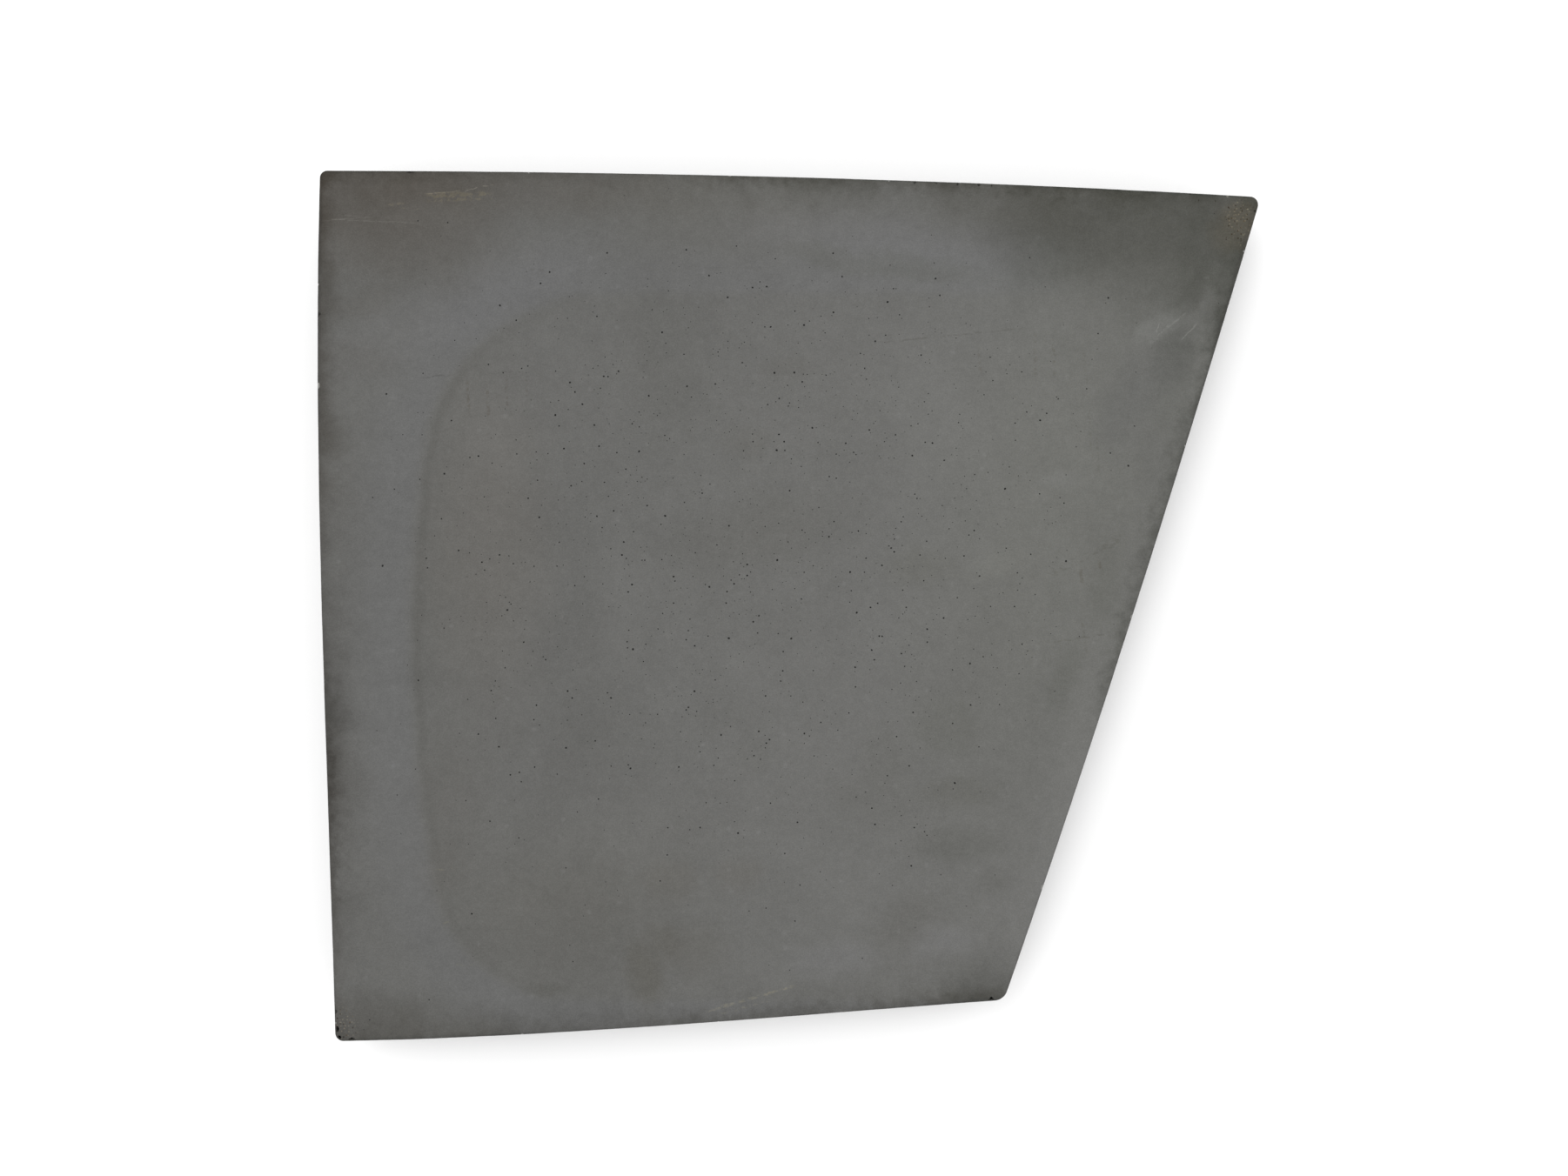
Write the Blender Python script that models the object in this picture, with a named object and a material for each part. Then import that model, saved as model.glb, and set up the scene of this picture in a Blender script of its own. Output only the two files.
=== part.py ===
"""Leather tooling slab: one thick slab of honed grey stone, cut as an irregular
four-sided piece, standing on four stick-on rubber feet.

Metres, +Z up. The origin is on the surface that the feet stand on, under the
middle of the slab's box. +X runs along the long far edge, and +Y to that edge.
"""

import math

import bmesh
import bpy
from mathutils import Vector

MM = 0.001

# The slab: where its four sides would meet if the corners were sharp. The tool
# user sits at the near side, so "far" is +Y and "near" is -Y.
FAR_LEFT = Vector((-152.0, 141.4)) * MM
FAR_RIGHT = Vector((153.4, 132.8)) * MM
NEAR_RIGHT = Vector((70.0, -127.9)) * MM
NEAR_LEFT = Vector((-147.0, -141.3)) * MM
SLAB_THICKNESS = 30.0 * MM
ARRIS_WIDTH = 0.8 * MM
ARRIS_SEGMENTS = 3
ARRIS_ANGLE = math.radians(60.0)

# Each side swells outwards a little. The skew moves the fullest point from the
# middle of the side towards its end (negative) or its start (positive).
FAR_BOW, FAR_SKEW = 2.2 * MM, -0.08
RIGHT_BOW, RIGHT_SKEW = 1.7 * MM, -0.14
NEAR_BOW, NEAR_SKEW = 1.5 * MM, -0.63
LEFT_BOW, LEFT_SKEW = 2.0 * MM, -0.68
SIDE_STEPS = 20

# How far from each sharp corner its rounding starts, and the facets in it.
FAR_LEFT_ROUND = 2.4 * MM
FAR_RIGHT_ROUND = 3.6 * MM
NEAR_RIGHT_ROUND = 2.8 * MM
NEAR_LEFT_ROUND = 2.7 * MM
CORNER_SEGMENTS = 8

# The feet: moulded rubber buttons, narrower where they touch the bench, each
# held by a round foam adhesive disc.
FOOT_HEIGHT = 6.0 * MM
FOOT_TOP_RADIUS = 10.0 * MM
FOOT_BASE_RADIUS = 8.4 * MM
FOOT_EDGE_RADIUS = 1.0 * MM
FOOT_RIM_RADIUS = 0.4 * MM
FOOT_EDGE_STEPS = 4
FOOT_WALL_SLOPE = -15.0
FOOT_INSET = 27.0 * MM
DISC_RADIUS = 9.2 * MM
DISC_THICKNESS = 0.9 * MM
ROUND_STEPS = 40

# Pieces that touch keep this gap between their solids.
GAP = 0.3 * MM
SHARP_ANGLE = math.radians(50.0)

DISC_BOTTOM = FOOT_HEIGHT + GAP
SLAB_BOTTOM = DISC_BOTTOM + DISC_THICKNESS + GAP

STONE_COLOUR = (0.145, 0.145, 0.138, 1.0)
RUBBER_COLOUR = (0.018, 0.018, 0.019, 1.0)
FOAM_COLOUR = (0.42, 0.42, 0.40, 1.0)


def clear_scene():
    """Remove whatever the open file holds."""
    for thing in list(bpy.data.objects):
        bpy.data.objects.remove(thing, do_unlink=True)


def new_material(name, colour, roughness):
    """A plain non-metallic surface of one colour."""
    material = bpy.data.materials.new(name)
    material.use_nodes = True
    shader = material.node_tree.nodes["Principled BSDF"]
    shader.inputs["Base Color"].default_value = colour
    shader.inputs["Roughness"].default_value = roughness
    shader.inputs["Metallic"].default_value = 0.0
    return material


def new_object(name, body, material, parent):
    """Turn a bmesh into a named object with one material."""
    mesh = bpy.data.meshes.new(name)
    bmesh.ops.recalc_face_normals(body, faces=body.faces)
    body.to_mesh(mesh)
    body.free()
    mesh.materials.append(material)
    thing = bpy.data.objects.new(name, mesh)
    thing.parent = parent
    bpy.context.scene.collection.objects.link(thing)
    return thing


def side_points(start, end, bow, skew):
    """Points from one corner up to the next along a side that swells outwards."""
    run = end - start
    outwards = Vector((-run.y, run.x)).normalized()
    points = []
    for step in range(SIDE_STEPS):
        part = step / SIDE_STEPS
        swell = 4.0 * bow * part * (1.0 - part) * (1.0 + skew * (1.0 - 2.0 * part))
        points.append(start + run * part + outwards * swell)
    return points


def slab_outline():
    """The whole outline, clockwise from above, with each corner's index."""
    sides = (
        (FAR_LEFT, FAR_RIGHT, FAR_BOW, FAR_SKEW),
        (FAR_RIGHT, NEAR_RIGHT, RIGHT_BOW, RIGHT_SKEW),
        (NEAR_RIGHT, NEAR_LEFT, NEAR_BOW, NEAR_SKEW),
        (NEAR_LEFT, FAR_LEFT, LEFT_BOW, LEFT_SKEW),
    )
    outline = []
    for start, end, bow, skew in sides:
        outline.extend(side_points(start, end, bow, skew))
    corner_indices = [side * SIDE_STEPS for side in range(len(sides))]
    return outline, corner_indices


def build_slab(stone, parent):
    """Round the outline's corners, centre it, raise it to its thickness and ease
    its edges. Returns the middle of the uncentred outline."""
    outline, corner_indices = slab_outline()
    body = bmesh.new()
    ring = [body.verts.new((point.x, point.y, SLAB_BOTTOM)) for point in outline]
    body.faces.new(ring)
    rounds = (FAR_LEFT_ROUND, FAR_RIGHT_ROUND, NEAR_RIGHT_ROUND, NEAR_LEFT_ROUND)
    corners = [ring[index] for index in corner_indices]
    for corner, reach in zip(corners, rounds):
        bmesh.ops.bevel(
            body,
            geom=[corner],
            offset=reach,
            offset_type="OFFSET",
            segments=CORNER_SEGMENTS,
            profile=0.5,
            affect="VERTICES",
        )
    middle = outline_middle(body)
    bmesh.ops.translate(body, verts=body.verts, vec=-middle)
    raised = bmesh.ops.extrude_face_region(body, geom=body.faces[:])
    top = [item for item in raised["geom"] if isinstance(item, bmesh.types.BMVert)]
    bmesh.ops.translate(body, verts=top, vec=(0.0, 0.0, SLAB_THICKNESS))
    slab = new_object("slab", body, stone, parent)
    arris = slab.modifiers.new("arris", "BEVEL")
    arris.width = ARRIS_WIDTH
    arris.segments = ARRIS_SEGMENTS
    arris.limit_method = "ANGLE"
    arris.angle_limit = ARRIS_ANGLE
    slab.data.shade_smooth()
    slab.data.set_sharp_from_angle(angle=SHARP_ANGLE)
    return middle


def outline_middle(body):
    """The middle of the outline's box, which the origin is put under."""
    xs = [vertex.co.x for vertex in body.verts]
    ys = [vertex.co.y for vertex in body.verts]
    return Vector(((min(xs) + max(xs)) / 2.0, (min(ys) + max(ys)) / 2.0, 0.0))


def turned_body(profile):
    """A solid of revolution about Z. The profile runs from the axis at the
    bottom, up the outside, to the axis at the top, as (radius, height)."""
    body = bmesh.new()
    previous = None
    for radius, height in profile:
        if radius == 0.0:
            ring = [body.verts.new((0.0, 0.0, height))]
        else:
            ring = []
            for step in range(ROUND_STEPS):
                angle = math.tau * step / ROUND_STEPS
                place = (radius * math.cos(angle), radius * math.sin(angle), height)
                ring.append(body.verts.new(place))
        if previous is not None:
            join_rings(body, previous, ring)
        previous = ring
    return body


def join_rings(body, lower, upper):
    """Faces between two neighbouring rings, either of which may be a point."""
    for step in range(ROUND_STEPS):
        after = (step + 1) % ROUND_STEPS
        if len(lower) == 1:
            body.faces.new((lower[0], upper[after], upper[step]))
        elif len(upper) == 1:
            body.faces.new((lower[step], lower[after], upper[0]))
        else:
            body.faces.new((lower[step], lower[after], upper[after], upper[step]))


def rounded_edge(radius, centre_height, edge_radius, start, end):
    """Points round an edge, from one angle to another above the horizontal."""
    points = []
    for step in range(FOOT_EDGE_STEPS + 1):
        angle = math.radians(start + (end - start) * step / FOOT_EDGE_STEPS)
        out = radius - edge_radius + edge_radius * math.cos(angle)
        points.append((out, centre_height + edge_radius * math.sin(angle)))
    return points


def foot_profile():
    """Flat base, rounded lower edge, tapered wall and a lightly rounded rim."""
    profile = [(0.0, 0.0)]
    profile += rounded_edge(
        FOOT_BASE_RADIUS, FOOT_EDGE_RADIUS, FOOT_EDGE_RADIUS, -90.0, FOOT_WALL_SLOPE
    )
    rim_height = FOOT_HEIGHT - FOOT_RIM_RADIUS
    profile += rounded_edge(
        FOOT_TOP_RADIUS, rim_height, FOOT_RIM_RADIUS, FOOT_WALL_SLOPE, 90.0
    )
    profile.append((0.0, FOOT_HEIGHT))
    return profile


def disc_profile():
    """A plain round disc."""
    return [
        (0.0, 0.0),
        (DISC_RADIUS, 0.0),
        (DISC_RADIUS, DISC_THICKNESS),
        (0.0, DISC_THICKNESS),
    ]


def inset_from_corner(before, corner, after, inset):
    """The point inside a corner that is the same distance from both its sides."""
    back = (before - corner).normalized()
    ahead = (after - corner).normalized()
    half_angle = back.angle(ahead) / 2.0
    return corner + (back + ahead).normalized() * inset / math.sin(half_angle)


def foot_places():
    """Where each foot stands, by the name of its corner."""
    names = ("far_left", "far_right", "near_right", "near_left")
    corners = (FAR_LEFT, FAR_RIGHT, NEAR_RIGHT, NEAR_LEFT)
    places = {}
    for index, name in enumerate(names):
        before = corners[index - 1]
        after = corners[(index + 1) % len(corners)]
        places[name] = inset_from_corner(before, corners[index], after, FOOT_INSET)
    return places


def build_feet(rubber, foam, middle, parent):
    """A rubber foot and its adhesive disc under each corner."""
    for name, place in foot_places().items():
        foot = new_object("foot_" + name, turned_body(foot_profile()), rubber, parent)
        foot.location = (place.x - middle.x, place.y - middle.y, 0.0)
        disc = new_object("adhesive_" + name, turned_body(disc_profile()), foam, parent)
        disc.location = (foot.location.x, foot.location.y, DISC_BOTTOM)
        for piece in (foot, disc):
            piece.data.shade_smooth()
            piece.data.set_sharp_from_angle(angle=SHARP_ANGLE)


def main():
    clear_scene()
    stand = bpy.data.objects.new("tooling_slab", None)
    bpy.context.scene.collection.objects.link(stand)
    stone = new_material("honed_stone", STONE_COLOUR, 0.6)
    rubber = new_material("black_rubber", RUBBER_COLOUR, 0.75)
    foam = new_material("adhesive_foam", FOAM_COLOUR, 0.9)
    middle = build_slab(stone, stand)
    build_feet(rubber, foam, middle, stand)


if __name__ == "__main__":
    main()
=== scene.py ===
"""Leather tooling slab: an irregular four-sided slab of honed grey stone, full of
fine pinholes, on four moulded rubber feet that are held by foam adhesive discs.

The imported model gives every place. Each operator in the sidebar's "Tooling slab"
tab makes one piece or group of like pieces, and the last makes the stage.
Lengths in the tables below are millimetres, and tones are display levels from 0
to 255, which the materials turn into reflectance.
"""

import math

import bmesh
import bpy
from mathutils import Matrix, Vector, noise


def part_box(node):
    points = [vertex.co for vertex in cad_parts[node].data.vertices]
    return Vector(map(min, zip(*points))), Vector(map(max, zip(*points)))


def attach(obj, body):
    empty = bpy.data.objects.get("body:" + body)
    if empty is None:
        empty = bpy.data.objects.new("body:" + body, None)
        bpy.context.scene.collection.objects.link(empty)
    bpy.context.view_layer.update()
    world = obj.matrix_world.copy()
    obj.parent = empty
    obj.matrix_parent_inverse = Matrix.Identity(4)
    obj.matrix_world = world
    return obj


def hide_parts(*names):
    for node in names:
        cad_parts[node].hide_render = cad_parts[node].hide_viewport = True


bl_info = {
    "name": "Leather tooling slab",
    "version": (1, 0, 0),
    "blender": (4, 5, 0),
    "location": "3D View > Sidebar > Tooling slab",
    "description": "Makes a honed stone slab for leather tooling, with its feet",
    "category": "Add Mesh",
}

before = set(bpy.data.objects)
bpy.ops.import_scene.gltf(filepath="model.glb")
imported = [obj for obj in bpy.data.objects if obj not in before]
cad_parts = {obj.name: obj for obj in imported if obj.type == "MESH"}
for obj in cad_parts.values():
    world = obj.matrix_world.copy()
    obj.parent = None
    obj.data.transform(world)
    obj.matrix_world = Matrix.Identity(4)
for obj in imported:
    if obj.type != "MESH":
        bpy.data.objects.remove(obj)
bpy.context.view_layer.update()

MM = 0.001
SHARP_ANGLE = math.radians(40.0)
CORNER_NAMES = ("far_left", "far_right", "near_right", "near_left")

# The slab's box, from the model.
SLAB_LOW, SLAB_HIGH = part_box("slab")


# ---------------------------------------------------------------- sizes, colours


class SlabSizes(bpy.types.PropertyGroup):
    """Sizes of the stone slab's details, and its colours."""

    arris_width: bpy.props.FloatProperty(
        name="Arris width",
        description="How far the hand-eased edges reach in from the sides",
        default=0.8 * MM,
        unit="LENGTH",
    )
    arris_unevenness: bpy.props.FloatProperty(
        name="Arris unevenness",
        description="How much the arris widens and narrows, as a part of its width",
        default=0.3,
        subtype="FACTOR",
    )
    outline_step: bpy.props.FloatProperty(
        name="Outline step",
        description="Longest distance between neighbouring points of the outline",
        default=1.5 * MM,
        unit="LENGTH",
    )
    side_waviness: bpy.props.FloatProperty(
        name="Side waviness",
        description="How deep the saw's waves are in the cut sides",
        default=0.05 * MM,
        unit="LENGTH",
    )
    pinhole_spacing: bpy.props.FloatProperty(
        name="Pinhole spacing",
        description="Least distance between two pinholes",
        default=0.8 * MM,
        unit="LENGTH",
    )
    pinhole_density: bpy.props.FloatProperty(
        name="Pinholes per square metre",
        description="How many pinholes there are where they are thickest",
        default=84000.0,
    )
    pinhole_radius: bpy.props.FloatProperty(
        name="Pinhole radius",
        description="Radius of the widest pinholes at the surface",
        default=0.35 * MM,
        unit="LENGTH",
    )
    chip_spacing: bpy.props.FloatProperty(
        name="Chip spacing",
        description="Least distance between two chips in the arris",
        default=3.0 * MM,
        unit="LENGTH",
    )
    chip_density: bpy.props.FloatProperty(
        name="Chips per square metre",
        description="How many small chips the arrises have, by their area",
        default=60000.0,
    )
    chip_radius: bpy.props.FloatProperty(
        name="Chip radius",
        # Radius of the largest chips that aren't placed one by one
        description="Radius of the largest chips that aren't placed by hand",
        default=0.7 * MM,
        unit="LENGTH",
    )
    pinhole_seed: bpy.props.IntProperty(
        name="Pinhole seed",
        description="Changes where the pinholes fall",
        default=7,
    )
    stone_colour: bpy.props.FloatVectorProperty(
        name="Honed stone",
        description="Colour of the middle of the honed face",
        subtype="COLOR",
        size=3,
        default=(0.147, 0.146, 0.139),
    )
    # Painted shade: the pinholes' dark colour darkens them beyond the shade their shape gives.
    pinhole_shade_colour: bpy.props.FloatVectorProperty(
        name="Pinhole",
        description="Colour of the dirt in the pinholes",
        subtype="COLOR",
        # Dark colour in the pinholes, painted shade deeper than their own
        size=3,
        default=(0.022, 0.022, 0.021),
    )


class FootSizes(bpy.types.PropertyGroup):
    """Sizes of the rubber feet's details, and the colours under the slab."""

    wall_slope: bpy.props.FloatProperty(
        name="Wall slope",
        description="How far the foot's wall leans in towards the bench",
        default=math.radians(15.0),
        subtype="ANGLE",
    )
    groove_depth: bpy.props.FloatProperty(
        name="Groove depth",
        description="Depth of the ring moulded into the foot's sole",
        default=0.35 * MM,
        unit="LENGTH",
    )
    rubber_colour: bpy.props.FloatVectorProperty(
        name="Rubber",
        description="Colour of the moulded feet",
        subtype="COLOR",
        size=3,
        default=(0.018, 0.018, 0.019),
    )
    foam_colour: bpy.props.FloatVectorProperty(
        name="Foam",
        description="Colour of the adhesive discs",
        subtype="COLOR",
        size=3,
        default=(0.42, 0.42, 0.40),
    )


class StageSizes(bpy.types.PropertyGroup):
    """The floor, the lights and the camera."""

    floor_colour: bpy.props.FloatVectorProperty(
        name="Floor",
        description="Colour of the plain floor",
        subtype="COLOR",
        size=3,
        default=(0.97, 0.97, 0.97),
    )
    floor_size: bpy.props.FloatProperty(
        name="Floor size",
        description="Length of the floor's side",
        default=12.0,
        unit="LENGTH",
    )
    sky_strength: bpy.props.FloatProperty(
        name="Sky strength",
        description="Strength of the even light from all round",
        default=1.0,
    )
    key_power: bpy.props.FloatProperty(
        name="Key power",
        description="Power of the softbox over the slab's far left corner",
        default=10.0,
        unit="POWER",
    )
    lens: bpy.props.FloatProperty(
        name="Lens",
        description="Focal length of the camera in millimetres",
        default=50.0,
    )
    camera_height: bpy.props.FloatProperty(
        name="Camera height",
        description="Height of the camera above the slab's working face",
        default=0.7062,
        unit="LENGTH",
    )


# ------------------------------------------------------------------ node helpers


def add_node(tree, kind, inputs=None, **settings):
    """A node with its settings made, and each input set or linked."""
    made = tree.nodes.new(kind)
    for name, value in settings.items():
        setattr(made, name, value)
    for name, value in (inputs or {}).items():
        if isinstance(value, bpy.types.NodeSocket):
            tree.links.new(value, made.inputs[name])
        else:
            made.inputs[name].default_value = value
    return made


def calc(tree, operation, first, second=0.0, third=0.0):
    """The result of one Math node."""
    inputs = {0: first, 1: second, 2: third}
    return add_node(tree, "ShaderNodeMath", inputs, operation=operation).outputs[0]


def plus(tree, first, second):
    """Two numbers added."""
    return calc(tree, "ADD", first, second)


def minus(tree, first, second):
    """One number less another."""
    return calc(tree, "SUBTRACT", first, second)


def times(tree, first, *more):
    """Numbers multiplied, from the left."""
    for factor in more:
        first = calc(tree, "MULTIPLY", first, factor)
    return first


def layered(tree, total, *layers):
    """A total with more added to it, each a number and its strength. A total of
    None starts from the first layer."""
    for number, strength in layers:
        if total is None:
            total = times(tree, number, strength)
        else:
            total = calc(tree, "MULTIPLY_ADD", number, strength, total)
    return total


def held(tree, value):
    """A number kept between 0 and 1. The Clamp option isn't used, because the
    renderer then holds too many numbers at once for a surface this rich."""
    return calc(tree, "MINIMUM", calc(tree, "MAXIMUM", value, 0.0), 1.0)


def vector_calc(tree, operation, first, second=(0, 0, 0), third=(0, 0, 0)):
    """The vector that one Vector Math node gives."""
    inputs = {0: first, 1: second, 2: third}
    made = add_node(tree, "ShaderNodeVectorMath", inputs, operation=operation)
    return made.outputs["Vector"]


def vector_number(tree, operation, first, second=(0, 0, 0)):
    """The single number that one Vector Math node gives."""
    inputs = {0: first, 1: second}
    made = add_node(tree, "ShaderNodeVectorMath", inputs, operation=operation)
    return made.outputs["Value"]


def dot(tree, first, second):
    """The dot product of two vectors."""
    return vector_number(tree, "DOT_PRODUCT", first, second)


def level_part(tree, vector, reach=(1.0, 1.0)):
    """A vector without its upright part, times a number each way."""
    return vector_calc(tree, "MULTIPLY", vector, (*reach, 0.0))


def part_along(tree, vector, axis):
    """One of a vector's numbers: its part along "x", "y" or "z"."""
    return dot(tree, vector, tuple(float(axis == way) for way in "xyz"))


def scaled(tree, vector, factor):
    """A vector times a number."""
    inputs = {0: vector, "Scale": factor}
    made = add_node(tree, "ShaderNodeVectorMath", inputs, operation="SCALE")
    return made.outputs["Vector"]


def combined(tree, *numbers):
    """A vector of three numbers."""
    return add_node(tree, "ShaderNodeCombineXYZ", dict(zip("XYZ", numbers))).outputs[0]


def between(tree, value, low, high):
    """1 where a number lies between two others, else 0."""
    above = calc(tree, "GREATER_THAN", value, low)
    return times(tree, above, calc(tree, "LESS_THAN", value, high))


def eased(tree, value, low, high, start=0.0, end=1.0):
    """A number that goes smoothly from start to end as value goes from low to high."""
    inputs = {"Value": value, "From Min": low, "From Max": high, "To Min": start, "To Max": end}
    made = add_node(
        tree, "ShaderNodeMapRange", inputs, interpolation_type="SMOOTHSTEP", clamp=False
    )
    return made.outputs["Result"]


def cloud(tree, place, size, detail=2.0, roughness=0.5, offset=0.0, stretch=None):
    """Noise from about -1 to 1 whose lumps are about that many millimetres."""
    if stretch is not None:
        place = vector_calc(tree, "MULTIPLY", place, stretch)
    moved = vector_calc(tree, "ADD", place, (offset, offset * 0.7, offset * 1.3))
    inputs = {"Vector": moved, "Scale": 1.0 / size, "Detail": detail, "Roughness": roughness}
    made = add_node(tree, "ShaderNodeTexNoise", inputs)
    return calc(tree, "MULTIPLY_ADD", made.outputs[0], 4.0, -2.0)


def new_tree(name, kind, inputs, output):
    """A node group whose sockets are listed as "Label" or "Label:Kind", numbers
    where no kind is given. Returns it with what it takes, and what it gives."""
    tree = bpy.data.node_groups.new(name, kind)
    for sockets, way in ((inputs, "INPUT"), (output, "OUTPUT")):
        for socket in sockets.split(", "):
            label, _, sort = socket.partition(":")
            sort = "NodeSocket" + (sort or "Float")
            tree.interface.new_socket(name=label, in_out=way, socket_type=sort)
    taken = tree.nodes.new("NodeGroupInput").outputs
    given = tree.nodes.new("NodeGroupOutput").inputs
    return tree, taken, given


def use_group(tree, group, inputs):
    """The outputs of a node that uses a group."""
    return add_node(tree, "ShaderNodeGroup", inputs, node_tree=group).outputs


def changed_tone(tree, taken, given, cover):
    """Add a group's Change to its Tone where cover is 1, and give that out."""
    change = scaled(tree, taken["Change"], cover)
    tree.links.new(vector_calc(tree, "ADD", taken["Tone"], change), given["Tone"])
    return tree


def share_along(tree, away, run):
    """How far along a run a vector from its start reaches, from 0 to 1."""
    return calc(tree, "DIVIDE", dot(tree, away, run), dot(tree, run, run))


# ----------------------------------------------------------------- surface marks


def stain_and_shade_group():
    """A soft oval patch that changes the tone under it. Long and Short are its
    two axes, each divided by its own reach."""
    inputs = (
        "Tone:Vector, Place:Vector, Middle:Vector, Long:Vector, Short:Vector, "
        "Softness, Change:Vector"
    )
    tree, taken, given = new_tree("stain", "ShaderNodeTree", inputs, "Tone:Vector")
    away = vector_calc(tree, "SUBTRACT", taken["Place"], taken["Middle"])
    long_share = dot(tree, away, taken["Long"])
    short_share = dot(tree, away, taken["Short"])
    square = times(tree, long_share, long_share)
    square = calc(tree, "MULTIPLY_ADD", short_share, short_share, square)
    edge = plus(tree, taken["Softness"], 1.0)
    core = minus(tree, 1.0, taken["Softness"])
    cover = eased(tree, calc(tree, "SQRT", square), core, edge, 1.0, 0.0)
    return changed_tone(tree, taken, given, cover)


def mark_group():
    """A scratch or streak from one point to another, broken up along its way."""
    inputs = (
        "Tone:Vector, Place:Vector, Breaks, Start:Vector, End:Vector, Width, Gaps, "
        "Change:Vector"
    )
    tree, taken, given = new_tree("mark", "ShaderNodeTree", inputs, "Tone:Vector")
    flat = level_part(tree, taken["Place"])
    away = vector_calc(tree, "SUBTRACT", flat, taken["Start"])
    run = vector_calc(tree, "SUBTRACT", taken["End"], taken["Start"])
    along = held(tree, share_along(tree, away, run))
    far = vector_number(tree, "DISTANCE", away, scaled(tree, run, along))
    cover = eased(tree, calc(tree, "DIVIDE", far, taken["Width"]), 0.3, 1.0, 1.0, 0.0)
    ends = times(tree, along, minus(tree, 1.0, along))
    low = minus(tree, taken["Gaps"], 0.35)
    high = plus(tree, taken["Gaps"], 0.35)
    kept = eased(tree, taken["Breaks"], low, high)
    cover = times(tree, cover, eased(tree, ends, -0.02, 0.12), kept)
    return changed_tone(tree, taken, given, cover)


def side_group():
    """How far a point lies in from one bowed side, and how far along it."""
    inputs = "Place:Vector, Start:Vector, End:Vector, Bow"
    tree, taken, given = new_tree("side", "ShaderNodeTree", inputs, "Depth, Along")
    run = vector_calc(tree, "SUBTRACT", taken["End"], taken["Start"])
    away = vector_calc(tree, "SUBTRACT", taken["Place"], taken["Start"])
    away = level_part(tree, away)
    along = share_along(tree, away, run)
    inwards = vector_calc(tree, "CROSS_PRODUCT", run, (0.0, 0.0, 1.0))
    inwards = vector_calc(tree, "NORMALIZE", inwards)
    swell = times(tree, along, minus(tree, 1.0, along))
    swell = times(tree, calc(tree, "MAXIMUM", swell, 0.0), 4.0)
    depth = layered(tree, dot(tree, away, inwards), (swell, taken["Bow"]))
    tree.links.new(depth, given["Depth"])
    tree.links.new(along, given["Along"])
    return tree


def edge_shade_group():
    """Painted shade that fades in from a side, blotchy by the Blotch input."""
    inputs = "Tone:Vector, Depth, Along, Blotch, From, To, Reach, Change:Vector"
    tree, taken, given = new_tree("grime", "ShaderNodeTree", inputs, "Tone:Vector")
    ragged = times(tree, taken["Blotch"], taken["Reach"])
    depth = layered(tree, taken["Depth"], (ragged, 0.5))
    part = calc(tree, "DIVIDE", depth, taken["Reach"])
    cover = calc(tree, "POWER", held(tree, minus(tree, 1.0, part)), 1.6)
    fade_in = minus(tree, taken["Along"], taken["From"])
    fade_out = minus(tree, taken["To"], taken["Along"])
    for fade in (fade_in, fade_out):
        cover = times(tree, cover, eased(tree, fade, -0.06, 0.06))
    return changed_tone(tree, taken, given, cover)
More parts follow.
